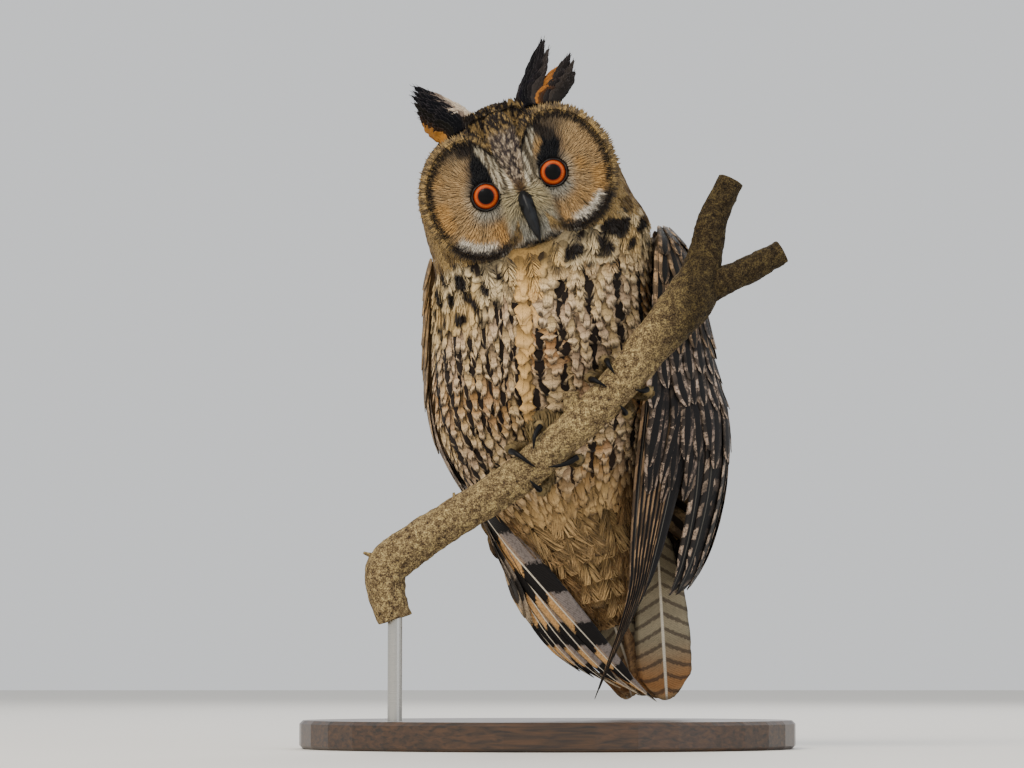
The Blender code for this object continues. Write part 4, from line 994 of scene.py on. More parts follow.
def headPiece(name, side, seed):
    # small scale-like feathers over crown, nape, cheeks and throat; they shorten towards the face
    gapRow, gapAcross = coatValues["headSpacing"]
    first = coatValues["neckRow"]
    at, angle = spread(arcRows(first, 20.0, gapRow), gapAcross, seed)
    at = np.clip(at, first, 19.95)
    keep = (np.sin(angle) * side >= 0) & ~onFace(bodyPoint(at, angle), 0.98)
    chooser = np.random.default_rng(seed + 1)
    # the flat end of the body's form, on top of the head, gets feathers of its own
    at = np.concatenate([at[keep], np.full(250, 19.9)])
    angle = np.concatenate([angle[keep], chooser.uniform(0, math.pi, 250) * side])
    inward = np.concatenate([np.ones(keep.sum()), chooser.random(250) ** 0.5])[:, None]
    point, _, _, normals = surfaceFrame(bodyPoint, at, angle, 0.02)
    top = bodyPoint(np.full(64, 19.9), circle(64, -math.pi)).mean(axis=0)
    point = top + (point - top) * inward
    normals = unit(-normals * inward + headUp * (1 - inward) * 2)
    _, ahead, up = inHead(point)
    crown = smooth(20, 36, up)
    length = 13.0 - 7.0 * crown - 7.5 * smooth(-40, -16, ahead) * (1 - crown)
    length = np.maximum(length, 5.0) * chooser.uniform(0.88, 1.12, len(at))
    flow = headFlow(point, normals)
    flow = unit(flow + np.cross(normals, flow) * chooser.normal(0, 0.1, len(at))[:, None])
    f = np.linspace(0, 1, 5)
    reach = f * length[:, None] * mm
    bend = (0.045 - 0.025 * smooth(-30, -14, ahead))[:, None]
    curve = reach**2 / (2 * bend)
    tall = chooser.uniform(-0.5, 0.1, len(at)) - 0.8 * smooth(-34, -16, ahead)
    tall = tall + 4.2 * (inward[:, 0] < 1)
    height = (-coatValues["skinDepth"] * (1 - f) ** 2.2 + tall[:, None] * f) * mm - curve
    path = point[:, None] + flow[:, None] * reach[..., None] + normals[:, None] * height[..., None]
    out = unit(normals[:, None] + flow[:, None] * (reach / bend)[..., None])
    look = headLook(point + flow * (length * 0.7 * mm)[:, None])
    half = 1.7 - 0.5 * crown - 0.6 * smooth(-40, -16, ahead)
    piece = vanes(name, path, out, half, outlines["small"], 3, look, bodyRoots(at, angle), camber=0.2,
                  ragged=0.2, seed=seed + 2)
    return dress(piece, softFeather, "buff_plumage")


def bodyColumns():
    # angles and half widths, in mm, of the columns that carry a dark shaft and of the pale ones between
    # them; the front's are given by how far aside they are, and a wide gap holds two pale columns
    v = coatValues
    square = through(bodySections, v["widest"])[7]
    shares = np.array(v["streaks"])
    front = np.sign(shares) * np.arcsin(np.abs(shares) ** (square / 2))
    back = np.linspace(front[-1], front[0] + 2 * math.pi, v["backColumns"] + 2)
    edges = np.concatenate([front, back[1:]])
    spots = bodyPoint(np.full(len(edges), v["widest"]), edges) / mm
    gaps = np.linalg.norm(np.diff(spots, axis=0), axis=1)
    dark = [(angle, (before + after) / 2 * 0.62)
            for angle, before, after in zip(edges[:-1], np.roll(gaps, 1), gaps)]
    pale = []
    for low, high, gap in zip(edges[:-1], edges[1:], gaps):
        number = 2 if gap > v["wideGap"] else 1
        for n in range(number):
            pale.append((low + (high - low) * (n + 0.5 + (0.12 - 0.24 * n) * (number - 1)) / number,
                         gap / number * 0.5 * 0.84 + 0.4 * (number - 1)))
    return np.array(dark), np.array(pale)


def bodyPiece(name, first, last, columns, streaked, seed, values, ends=(-9.0, 9.0)):
    # feathers in columns that run down the body, between two angles, so that their shaft streaks line up;
    # values are one entry of coatValues["breast"]
    v = coatValues
    length, gap, tall, camber, across, bend, barbs = values
    chooser = np.random.default_rng(seed)
    rows = arcRows(first, last, gap)
    i, j = gridPlaces(len(rows), len(columns))
    step = rows[min(1, len(rows) - 1)] - rows[0]
    at = rows[i] + (j % 2 - 0.5) * 0.5 * step + chooser.uniform(-0.12, 0.12, len(i)) * step
    # the columns of the right half lean towards the middle on their way down
    angle = wrapped(columns[j, 0] + chooser.uniform(-0.02, 0.02, len(i)))
    lean = smooth(-0.15, -0.9, angle) * smooth(-2.6, -1.1, angle) * smooth(3.0, 6.0, at)
    angle = angle + v["lean"] * (9 - at) * lean
    keep = (angle >= ends[0]) & (angle < ends[1]) & ~onFace(bodyPoint(at, angle), 0.9)
    at, angle, wide, lean = at[keep], angle[keep], columns[j[keep], 1], lean[keep]
    point, alongA, _, _ = surfaceFrame(bodyPoint, at, angle, 0.02)
    narrow = through(bodySections, at)[:, 3] / 65
    reach = length * (0.72 + 0.28 * narrow) * chooser.uniform(0.84, 1.14, len(at))
    lift = (np.full(len(at), -v["skinDepth"]), chooser.uniform(0.0, 0.6, len(at)) + tall)
    wander = (softNoise(point, 0.028, seed) - 0.5) * 2 * bend + chooser.normal(0, 0.09, len(at))
    flow = unit(-unit(alongA) + np.stack([wander + 4 * v["lean"] * lean, 0 * at, 0 * at], -1))
    path, normals, pathA = layOn(at, angle, flow, reach, lift)
    look = bodyLook(pathA[:, 5], angle, path[:, 5], np.full(len(at), 1.0 if streaked else 0.0))
    width = wide * (0.35 + 0.65 * narrow) * chooser.uniform(0.78, 1.18, len(at))
    # the pale columns of the breast's right half leave more of the dark ones between them
    width = width * (1 - 0.24 * ((angle > -1.7) & (angle < -0.25) & (not streaked) & (first == 5.0)))
    # each vane is darker where the one above covers it, painted shade down to a quarter at its root; it is
    # paler near its tip; and it is brown at its rim, partly its own dark edge and partly a painted shadow
    # line under the tip
    share = np.linspace(0, 1, 9)
    deep = 0.25 + 0.75 * smooth(0.3, 0.85, share)[None, :, None]
    base = mix(look["base"][:, None] * deep, look.pop("tip")[:, None], smooth(0.7, 0.9, share)[None])
    base = mix(base, look["mark"][:, None], look.pop("rim")[:, None] * smooth(0.9, 1.0, share))
    look["base"] = base
    if barbs:
        look["spots"] = look["spots"][:, None] * np.ones(3)
        number, half, sweep = barbs
        fringe = locks(name + "Barbs", path, normals, width * 1.04, outlines["scallop"], number, look,
                       bodyRoots(at, angle), camber=camber * 0.9, lock=half, start=0.1, sweep=sweep,
                       seed=seed + 2)
        return dress(fringe, softFeather, "buff_plumage")
    side = unit(np.cross(unit(np.gradient(path, axis=1)), normals))[:, :, None]
    spots = path[:, :, None] + side * np.linspace(-1, 1, across)[:, None] * (width * mm)[:, None, None, None]
    spots = look.pop("spots")[:, None, None] * neckSpots(spots)
    look["base"] = mix(base[:, :, None], look["mark"][:, None, None] * 0.7, spots)
    piece = vanes(name, path, normals, width, outlines["scallop"], across, look, bodyRoots(at, angle),
                  camber=camber, ragged=0.7, seed=seed + 1)
    return dress(piece, softFeather, "buff_plumage")


def skinPiece():
    # the body's form less the coat's depth, the face's plane of heights less a shallow coat, in one mesh
    depth = coatValues["skinDepth"] - 0.3
    at, angle = grid(np.linspace(0.3, 20, 110), circle(96, -math.pi))
    body = bodyPoint(at, angle, -depth)
    points = [body.reshape(-1, 3)]
    faces = tubeFaces(110, 96, turned=True)
    uv = [bodyRoots(at, angle).reshape(-1, 2)]
    turned = np.abs(angle).ravel() > 2.0
    # the skin shows only between the feathers: its colours are the coat's darkened to 55%, painted shade
    # under the coat, and darker again by 0.7 round the back
    colour = bodyLook(at.ravel(), angle.ravel(), body.reshape(-1, 3), np.zeros(at.size))["base"] * 0.55
    headColour = headLook(body.reshape(-1, 3))["base"] * 0.55
    colour = mix(colour, headColour, smooth(coatValues["neckRow"], coatValues["neckRow"] + 0.8, at.ravel()))
    colours = [np.where(turned[:, None], colour * 0.7, colour)]
    across, up = grid(np.linspace(-70, 70, 141), np.linspace(-58, 62, 121))
    height = faceHeight(across, up) - 1.6
    far, _, _ = discPlace(across, up)
    height = np.where(far < headValues["lidRadius"] - 0.4, height - 8.0, height)
    face = onHead(across, height, up).reshape(-1, 3)
    points.append(face)
    first = len(points[0])
    quads = gridFaces(141, 121, around=False, first=first)
    _, _, share = discPlace(across, up)
    inside = ((share < 1.06) | between(across, up, 18, -36, 44)).ravel()
    quads = quads[inside[quads - first].all(axis=1)]
    uv.append(faceRoots(across, up).reshape(-1, 2))
    # the face's skin is its own colours darkened to 70%: painted shade under the face's coat
    colours.append(faceColour(across, up).reshape(-1, 3) * 0.7)
    # the wall behind the rim, from the face's edge into the head
    turn, deep = grid(circle(180, -math.pi), np.linspace(-0.02, 1.1, 9))
    wall = ruffSurface(turn, deep)
    middle = onHead(0.0, -10.0, 0.0)
    wall = (middle + (wall - middle) * 0.975).reshape(-1, 3)
    last = sum(len(part) for part in points)
    points.append(wall)
    quads = np.concatenate([quads, last + gridFaces(181, 9, around=False) % (180 * 9)])
    uv.append(np.stack([0.02 + 0.3 * (turn / math.pi + 1), 0.69 + 0.01 * deep], -1).reshape(-1, 2))
    # the wall's colours are the head's darkened to half: painted shade in the hollow behind the ruff
    colours.append(headLook(wall)["base"] * 0.5)
    faces[0] = np.concatenate([faces[0], quads])
    piece = bareSkin("owlSkin", np.concatenate(points), faces, np.concatenate(colours), np.concatenate(uv))
    return dress(piece, softFeather, "buff_plumage", "torso", "neck", "head")


skinPiece()
print("skin made")
for side, hand in hands.items():
    facePiece("faceCoat" + side.capitalize(), hand)
    headPiece("headCoat" + side.capitalize(), hand, 70 + hand)
ruffPiece()
dark, pale = bodyColumns()
breast, neckRow = coatValues["breast"], coatValues["neckRow"]
bodyPiece("breastCoatUnder", 5.0, 13.0, dark, True, 80, breast["under"])
for side, ends in (("Left", (0, 4)), ("Right", (-4, 0))):
    bodyPiece("breastCoat" + side, 5.0, 12.7, pale, False, 83, breast["over"], ends)
for name, first, last, number, half, seed in (("neck", 12.3, neckRow + 0.5, 34, 5.6, 86),
                                              ("vent", 0.6, 6.3, 11, 17.0, 90)):
    columns = np.stack([np.arange(number) / number * 2 * math.pi - math.pi, np.full(number, half)], -1)
    bodyPiece(name + "CoatUnder", first, last, columns, False, seed, breast[name + "Under"])
    columns[:, 0] += math.pi / number
    bodyPiece(name + "Coat", first, last, columns, False, seed + 3, breast[name])
print("coat made")


# Wings: z, then x, y of the front edge, of the middle line, and of the back edge, as the solids have them

wingRows = {
    "left": [
        [298, 60, -20, 70, -4, 60, 14],
        [282, 59, -36, 79, -6, 52, 38],
        [256, 57, -43, 87, -4, 44, 54],
        [230, 55, -45, 92, 0, 40, 59],
        [205, 52, -43, 98, 3, 38, 60],
        [184, 50, -40, 103, 6, 38, 60],
        [150, 47, -29, 102, 12, 44, 56],
        [112, 46, -18, 92, 16, 54, 50],
        [88, 46, -14, 78, 12, 58, 42],
        [60, 40, -10, 53, 4, 50, 20],
        [26, 28, -4, 32, 0, 35, 6],
    ],
    "right": [
        [280, -66, -8, -68.5, 10, -60, 27],
        [264, -68, -4, -69, 22, -54, 45],
        [240, -69, 1, -68, 33, -46, 57],
        [216, -69, 5, -67, 37, -41, 61],
        [192, -67.5, 7, -64, 39, -37, 62],
        [168, -60.5, 8, -56, 39, -32, 60],
        [140, -42, 7, -40, 34, -18, 55],
        [104, -3, 3, -25, 16, -8, 38],
        [66, 35, 9, -5, 13, 4, 26],
        [41, 56, 11, 20, 14, 26, 21],
        [26, 66, 13, 56, 14, 58, 17],
    ],
}

# Each tier: kind, vanes, share across at the first and last root, and at the tips, row at the first and last
# root, and at the tips, half width in mm, step in level, lift at the tip, outline
wingTiers = {
    "left": [
        ("primary", 8, (0.04, 0.17), (0.03, 0.075), (4.0, 4.3), (10.0, 8.3), 4.6, -0.5, 0.4, "primary"),
        ("secondary", 11, (0.2, 0.95), (0.29, 0.93), (4.2, 4.2), (8.1, 7.5), 8.6, 0.5, 0.4, "flight"),
        ("greater", 8, (0.03, 0.22), (0.03, 0.18), (3.5, 3.6), (6.2, 6.1), 4.0, 0.4, 0.9, "covert"),
        ("greater", 16, (0.06, 0.94), (0.07, 0.94), (3.3, 3.2), (5.7, 5.6), 5.0, 0.5, 1.2, "covert"),
        ("median", 17, (0.07, 0.93), (0.07, 0.93), (2.7, 2.6), (4.8, 4.7), 4.8, 0.5, 1.4, "covert"),
        ("median", 17, (0.06, 0.93), (0.06, 0.93), (2.1, 2.0), (4.0, 3.9), 4.7, 0.5, 1.4, "covert"),
        ("lesser", 18, (0.05, 0.92), (0.05, 0.92), (1.5, 1.5), (3.2, 3.2), 4.5, 0.5, 1.4, "covert"),
        ("lesser", 18, (0.06, 0.93), (0.06, 0.93), (1.0, 1.0), (2.5, 2.5), 4.4, 0.5, 1.4, "covert"),
        ("lesser", 17, (0.08, 0.9), (0.08, 0.9), (0.5, 0.5), (1.8, 1.8), 4.4, 0.5, 1.3, "covert"),
        ("lesser", 13, (0.1, 0.88), (0.1, 0.88), (0.2, 0.2), (1.2, 1.2), 4.4, 0.5, 1.2, "covert"),
        ("scapular", 11, (0.34, 0.92), (0.38, 0.93), (0.2, 0.5), (3.0, 3.8), 6.4, 0.6, 2.4, "covert"),
    ],
    "right": [
        ("primary", 5, (0.12, 0.46), (0.1, 0.5), (4.9, 5.0), (9.9, 8.9), 9.0, 0.7, 0.0, "primary"),
        ("secondary", 9, (0.44, 0.94), (0.5, 0.92), (4.2, 4.2), (7.9, 7.2), 8.2, 0.5, 0.4, "flight"),
        ("greater", 13, (0.06, 0.93), (0.06, 0.93), (3.4, 3.3), (5.9, 5.7), 5.4, 0.4, 0.5, "covert"),
        ("median", 13, (0.07, 0.92), (0.07, 0.92), (2.7, 2.6), (4.8, 4.7), 5.2, 0.4, 0.5, "covert"),
        ("median", 13, (0.06, 0.92), (0.06, 0.92), (2.1, 2.0), (4.0, 3.9), 5.0, 0.4, 0.5, "covert"),
        ("lesser", 14, (0.06, 0.92), (0.06, 0.92), (1.5, 1.5), (3.2, 3.2), 4.8, 0.4, 0.5, "covert"),
        ("lesser", 14, (0.07, 0.92), (0.07, 0.92), (1.0, 1.0), (2.5, 2.5), 4.6, 0.4, 0.5, "covert"),
        ("lesser", 13, (0.1, 0.9), (0.1, 0.9), (0.5, 0.5), (1.8, 1.8), 4.6, 0.4, 0.4, "covert"),
        ("lesser", 11, (0.12, 0.88), (0.12, 0.88), (0.2, 0.2), (1.2, 1.2), 4.6, 0.4, 0.4, "covert"),
        ("scapular", 10, (0.34, 0.9), (0.38, 0.9), (0.2, 0.4), (3.0, 3.6), 6.4, 0.5, 1.6, "covert"),
    ],
}
# For each kind: ground colour of the outer and of the inner vane, of the marks and of the tip's fringe,
# then streak, bars' strength, bars, mottling, paleness of the shaft, and how far noise darkens the ground
wingLooks = {
    "left": {
        "primary": ("#ae8c68", "#262120", "#0b0a0d", "#6a5848", 0.84, 0.7, 8.0, 0.1, 0.2, 0.45),
        "secondary": ("#b39a84", "#4a3f38", "#0d0c0e", "#b09a86", 0.48, 0.95, 11.0, 0.55, 0.1, 0.7),
        "greater": ("#bda48e", "#8f7a6c", "#0e0c0e", "#b8a290", 0.45, 0.9, 5.0, 0.7, 0.0, 0.9),
        "median": ("#c0a894", "#94806f", "#0f0d0e", "#c0ac9a", 0.45, 0.85, 4.0, 0.7, 0.0, 0.9),
        "lesser": ("#b0906c", "#8a6f54", "#120f0d", "#b89c80", 0.48, 0.75, 3.2, 0.7, 0.0, 0.8),
        "scapular": ("#b09a88", "#86725f", "#121011", "#b8a492", 0.38, 0.85, 5.0, 0.8, 0.0, 0.8),
    },
    "right": {
        "primary": ("#d6a468", "#857a74", "#120e0d", "#e6cfa4", 0.03, 1.0, 5.8, 0.3, 1.0, 0.15),
        "secondary": ("#c4a276", "#8b7d6e", "#161210", "#c8b08c", 0.1, 0.95, 6.0, 0.45, 0.5, 0.3),
        "greater": ("#b99f82", "#a08a74", "#1c1511", "#c8b49c", 0.26, 0.75, 4.5, 0.55, 0.0, 0.4),
        "median": ("#bfa07a", "#a88c6a", "#20170f", "#c8b294", 0.24, 0.6, 3.5, 0.5, 0.0, 0.35),
        "lesser": ("#c09c68", "#a9875a", "#291c12", "#c4a678", 0.22, 0.5, 3.0, 0.45, 0.0, 0.3),
        "scapular": ("#b49a80", "#9c846c", "#1e1713", "#c8b49c", 0.28, 0.65, 4.5, 0.6, 0.0, 0.4),
    },
}


def wingRoots(hand, u, v):
    # the wings' unwrap: one field for each, across and down the wing
    return np.stack([0.52 + 0.22 * u + (0.24 if hand < 0 else 0.0), 0.72 + 0.26 * v / 10], -1)


def wingSurface(rows):
    # a parabola through the front edge, 0, the middle line, 0.5, and the back edge, 1, at each height
    def surface(u, v):
        # the row at v weighted by the parabola's three shares at u
        z, fx, fy, ox, oy, bx, by = np.moveaxis(through(rows, v), -1, 0)
        a, b, c = (1 - u) * (1 - 2 * u), 4 * u * (1 - u), u * (2 * u - 1)
        return np.stack([a * fx + b * ox + c * bx, a * fy + b * oy + c * by, z], -1) * mm
    return surface


def wingTier(side, hand, surface, n, chooser):
    # one tier of vanes laid on the wing: each runs straight across the surface's own two directions from
    # its root to its tip, and rises from under the surface to its tip's lift
    kind, count, uRoot, uTip, vRoot, vTip, half, step, lift, outline = wingTiers[side][n]
    long = outline in ("primary", "flight")
    f, share = np.linspace(0, 1, count), np.linspace(0, 1, 26 if long else 10)
    loose = 0.0 if long else 0.6 / count
    u0 = np.interp(f, (0, 1), uRoot) + chooser.uniform(-loose, loose, count)
    u1 = np.interp(f, (0, 1), uTip) + chooser.uniform(-loose, loose, count)
    v0, v1 = np.interp(f, (0, 1), vRoot), np.interp(f, (0, 1), vTip)
    stagger = 0.06 if long else 0.22
    v1 = np.minimum(v1 + chooser.uniform(-stagger, stagger, count), 10.0)
    u = u0[:, None] + (u1 - u0)[:, None] * share
    v = v0[:, None] + (v1 - v0)[:, None] * share
    point, _, _, normals = surfaceFrame(surface, u, np.minimum(v, 9.97), 0.02)
    normals = normals * -hand
    order = np.arange(count)
    level = step * ((order[::-1] if step < 0 else -order) if kind == "primary" else order % 2)
    height = -2.2 + (lift + 2.2) * share + level[:, None]
    height = height + (0 if long else chooser.uniform(0, 0.4, (count, 1)))
    path = point + normals * height[..., None] * mm
    outer, inner, mark, fringe, streak, bars, number, mottle, quill, dark = wingLooks[side][kind]
    columns = 9 if long else 7
    place = np.linspace(-1, 1, columns)
    across = unit(np.cross(unit(np.gradient(path, axis=1)), normals))
    spots = path[:, :, None] + across[:, :, None] * (place * half * mm)[:, None]
    noise = softNoise(spots, 0.0055, 7 + n)
    ground = mix(linear(inner), linear(outer), smooth(-0.15, 0.15, place) if long else smooth(-1, 1, place))
    ground = ground * chooser.uniform(0.8, 1.15, (count, 1, 1, 1))
    ground = ground * (0.8 + 0.4 * softNoise(spots, 0.002, 3))[..., None]
    ground = ground * (1 - dark * smooth(0.62, 0.38, noise))[..., None]
    edge = np.maximum(smooth(0.9, 1.0, share)[:, None] * 0.55, smooth(0.7, 1.0, place) * 0.6 * long)
    base = mix(ground, linear(fringe), np.broadcast_to(edge, noise.shape))
    # the long feathers' bars line up across the wing: they are counted along its rows
    pace = number / (v1[0] - v0[0])
    number = pace * (v1 - v0) if long else np.full(count, number)
    phase = pace * v0 if kind == "primary" and side == "right" else chooser.random(count)
    look = {"base": base, "mark": linear(mark), "pattern": perVane(count, streak, bars, number),
            "texture": perVane(count, mottle, quill, phase)}
    piece = vanes(f"{side}Wing{kind.capitalize()}{n}", path, normals, half * chooser.uniform(0.9, 1.1, count),
                  outlines[outline], columns, look, wingRoots(hand, u0, v0), camber=0.09 if long else 0.16,
                  ragged=0.03 if long else 0.1, shaft=0.36 if long else 0.0, thickness=0.35, seed=120 + n)
    return dress(piece, firmFeather if long else covertFeather, "flight_feather")


def wingArm(side, hand, surface):
    # the arm under the feathers: the same surface, sunk, with a thickness towards the body
    rows, columns = 25, 40
    u, v = grid(np.linspace(0.1, 0.96, rows), np.linspace(0.4, 5.2, columns))
    point, _, _, normals = surfaceFrame(surface, u, v, 0.02)
    outside, inside = (point + normals * hand * depth * mm for depth in (1.2, 12.0 if hand > 0 else 6.0))
    size = rows * columns
    faces = gridFaces(rows, columns, around=False)
    last = (rows - 1) * columns
    edge = np.concatenate([np.arange(columns), np.arange(1, rows) * columns + columns - 1,
                           last + np.arange(columns - 2, -1, -1), np.arange(rows - 2, 0, -1) * columns])
    rim = np.stack([edge, edge + size, np.roll(edge, -1) + size, np.roll(edge, -1)], -1)
    faces = np.concatenate([faces, faces[:, ::-1] + size, rim])
    faces = faces[:, ::-1] if hand > 0 else faces
    # tan on the side towards the body, and dark or tan under the feathers of the outer side
    outer = np.broadcast_to(linear("#33291f" if hand > 0 else "#84694a"), (size, 3))
    inner = linear("#8c7658") * (0.5 + softNoise(inside.reshape(-1, 3), 0.004, 44))[:, None]
    colour = np.concatenate([outer, inner])
    uv = np.tile(wingRoots(hand, u, v).reshape(-1, 2), (2, 1))
    piece = bareSkin(side + "WingArm", np.stack([outside, inside]).reshape(-1, 3), [faces], colour, uv)
    return dress(piece, softFeather, "flight_feather", "wing_" + side)


def shoulderPiece(side, hand, surface):
    # feathers that lead from the back over the wing's back edge: each runs from a root under the body's
    # coat, p0, to a place on the wing, p2, along (1-t)^2 p0 + 2t(1-t) p1 + t^2 p2, p1 standing behind them
    chooser = np.random.default_rng(110 + hand)
    i, j = gridPlaces(15, 4)
    v = 1.3 + i * 0.33 + (j % 2) * 0.16 + chooser.uniform(-0.06, 0.06, len(i))
    u = np.interp(j, (0, 3), (0.72, 1.0)) + chooser.uniform(-0.02, 0.02, len(i))
    p2, _, _, normals = surfaceFrame(surface, u, v + 0.9, 0.02)
    normals = normals * -hand
    p2 = p2 + normals * 3.6 * mm
    table = np.linspace(5, 13, 81)
    angle = hand * np.interp(j, (0, 3), (2.0, 2.7))
    heights = bodyPoint(table[None], angle[:, None] + 0 * table)[..., 2]
    goal = p2[:, 2] + 0.03
    at = np.array([np.interp(goal[n], heights[n], table) for n in range(len(i))])
    p0 = bodyPoint(at, angle, -1.0)
    p1 = (p0 + p2) / 2 + np.array([0.0, 6.0, 4.0]) * mm
    t = np.linspace(0, 1, 10)[:, None]
    path = (1 - t) ** 2 * p0[:, None] + 2 * t * (1 - t) * p1[:, None] + t**2 * p2[:, None]
    normals = unit(normals + np.array([0.0, 1.0, 0.3]))[:, None] + 0 * path
    base = mix(palette["mantle"], palette["bellyPink"] * 0.7, smooth(0.4, 0.7, softNoise(path, 0.006, 45)))
    base = mix(base, palette["mantleDark"], smooth(0.55, 0.62, softNoise(path, 0.0045, 46)) * 0.8)
    count = len(i)
    look = {"base": base, "mark": palette["mantleDark"], "pattern": (0.32, 0.5, 4.0),
            "texture": perVane(count, 0.5, 0.0, chooser.random(count))}
    piece = vanes(side + "ShoulderCoat", path, normals, 7.5, outlines["covert"], 7, look,
                  wingRoots(hand, u, v), camber=0.16, ragged=0.12, thickness=0.35, seed=112 + hand)
    return dress(piece, covertFeather, "flight_feather")


for side, hand in hands.items():
    surface = wingSurface(wingRows[side])
    shoulderPiece(side, hand, surface)
    chooser = np.random.default_rng(100 if side == "left" else 101)
    for n in range(len(wingTiers[side])):
        wingTier(side, hand, surface, n, chooser)
    wingArm(side, hand, surface)
print("wings made")


# Tail: a fan of twelve long feathers on a bent sheet, and the coverts under and over its root

fanValues = {
    "start": (24, 18, 112),
    "tip": (66, 37, 31),
    "roll": 22.0,
    "halfWidths": (10.0, 25.0),
    "sag": 5.0,
    # for each pair from the lowest: how far aside, as a share, and its length, as a share
    "aside": [0.52, 0.7, 0.84, 0.95, 0.42, 0.12],
    "lengths": [0.93, 0.96, 0.97, 0.93, 1.0, 1.0],
    "vaneHalf": 12.5,
    # two feathers of the lowest pairs hang almost straight down: number, ends and half width
    "hanging": [(0, (63, 20, 122), (69, 35.5, 27), 17.0), (2, (47, 24, 118), (65, 38, 28), 15.0)],
    "step": 1.0,
}


def tailSurface(u, v):
    # u runs across the fan from -1 to 1 and v from root to tip: a plane that sags by u^2
    t = fanValues
    start, tip = np.array(t["start"], float), np.array(t["tip"], float)
    turn = math.radians(t["roll"])
    across = np.array([math.cos(turn), 0.0, math.sin(turn)])
    half = np.interp(v, (0, 1), t["halfWidths"])
    place = start + (tip - start) * v[..., None] + across * (u * half)[..., None]
    place[..., 1] += t["sag"] * u**2
    return place * mm


def tailPiece():
    # the twelve long feathers, laid in pairs one step behind another on the tail's surface
    t = fanValues
    count = 2 * len(t["aside"])
    order = np.arange(count)
    layer, hand = order // 2, np.where(order % 2 == 0, 1.0, -1.0)
    share = np.linspace(0, 1, 26)
    u = (hand * np.array(t["aside"])[layer])[:, None] * (0.45 + 0.55 * share)
    v = share * np.array(t["lengths"])[layer][:, None]
    _, _, _, normals = surfaceFrame(tailSurface, u, v, 0.01)
    normals = np.where(normals[..., 1:2] < 0, normals, -normals)
    depth = (t["step"] * (2 * layer + (hand < 0)))[:, None] * np.minimum(1, 3 * share)
    path = tailSurface(u, v) - normals * depth[..., None] * mm
    halves = np.full(count, t["vaneHalf"])
    for n, start, end, half in t["hanging"]:
        path[n] = (np.array(start) + (np.array(end) - np.array(start)) * share[:, None]) * mm
        normals[n] = normals[n].mean(axis=0)
        halves[n] = half
    chooser = np.random.default_rng(140)
    noise = softNoise(path, 0.006, 9)[..., None]
    rust = np.maximum(smooth(0.6, 0.95, share)[None], (layer[:, None] > 0) * 0.6)
    ground = mix(linear("#857a62"), linear("#8f6338"), rust)
    base = ground * (0.8 + 0.4 * noise) * chooser.uniform(0.92, 1.08, (count, 1, 1))
    fringe = smooth(0.95, 1.0, share)[None, :, None]
    base = base * (1 - 0.7 * fringe) + linear("#d2b78c") * 0.7 * fringe
    look = {"base": base, "mark": linear("#3b2f27"),
            "pattern": perVane(count, 0, np.where(layer > 0, 0.4, 0.75), 11.0),
            "texture": perVane(count, np.where(layer > 0, 0.5, 0.12), 0.9, chooser.uniform(0, 0.1, count))}
    roots = perVane(count, 0.05 + 0.4 * order / count, 0.7)
    piece = vanes("tailFeathers", path, normals, halves, outlines["tail"], 11, look, roots, camber=0.06,
                  ragged=0.03, thickness=0.35, seed=141)
    return dress(piece, tailFeather, "flight_feather", "tail")


def tailCoverts():
    # loose feathers in rows down the tail's root, under it and over it
    for name, below, rows, seed in (("undertailCoverts", True, 7, 150), ("uppertailCoverts", False, 6, 151)):
        chooser = np.random.default_rng(seed)
        row, column = gridPlaces(rows, 6)
        count = len(row)
        v0 = -0.42 + 0.075 * row + chooser.uniform(-0.02, 0.02, count)
        u0 = (column - 2.5 + 0.5 * (row % 2)) / 3.0 * 0.95
        length = chooser.uniform(0.36, 0.44, count)
        share = np.linspace(0, 1, 9)
        u = u0[:, None] * (1 - 0.12 * share) + 0.1 * np.sin(3 * share + 6 * chooser.random((count, 1)))
        v = v0[:, None] + length[:, None] * share
        _, _, _, normals = surfaceFrame(tailSurface, u, np.maximum(v, 0.0), 0.01)
        normals = np.where(normals[..., 1:2] < 0, normals, -normals)
        level = 2.2 + 3.4 * smooth(0.4, -0.2, v) + 1.2 * share - 0.25 * row[:, None]
        level = level if below else -(level + 12.0)
        path = tailSurface(u, v) + normals * level[..., None] * mm
        n = softNoise(path[:, 5], 0.01, 12)
        base = mix(linear("#9c8056"), linear("#bda678"), smooth(0.35, 0.65, n))
        look = {"base": base, "tip": base * 1.15, "mark": linear("#6a5032"), "pattern": (0.1, 0.0, 2.0),
                "texture": perVane(count, 0.05, 0, chooser.random(count))}
        roots = perVane(count, 0.5 + 0.06 * u0, 0.7)
        piece = locks(name, path, normals * (1.0 if below else -1.0), 8.5, outlines["body"], 24, look, roots,
                      lock=0.8, start=0.2, seed=seed + 5)
        dress(piece, softFeather, "buff_plumage")


tailPiece()
tailCoverts()
print("tail made")


# Ear tufts: long feathers fanned from each side of the crown, in the head's own axes

tuftValues = {
    # where the feathers end, across and up, in mm, from the inner one to the outer one
    "left": [(32, 60), (35.5, 66), (38.5, 71), (40.5, 74), (41.5, 73), (42.5, 68), (44, 56), (44.8, 53.5),
             (46.5, 53), (50.5, 59.5), (52.3, 60), (53, 56), (51.5, 50)],
    "right": [(-27, 61), (-30, 66.5), (-33, 70.5), (-35, 73), (-36.5, 73), (-38, 71), (-39, 68),
              (-39.5, 64), (-40, 59.5), (-39.5, 56), (-38.5, 52)],
    "colours": {
        "left": ["#2a2426", "#15131a", "#0d0d12", "#131215", "#1e1b1c", "#3a3431", "#a96c30", "#54361e",
                 "#3c2a1e", "#2c2826", "#221e1e", "#38322e", "#2a2624"],
        "right": ["#cfc0ac", "#c9b69e", "#857568", "#1a1719", "#0c0d12", "#0a0b10", "#0c0c10", "#15130f",
                  "#16120e", "#2a1d12", "#a5702f"],
    },
    "root": {"left": (26.0, -24.0, 41.0), "right": (22.0, -24.0, 41.0)},
    "half": 3.6,
}


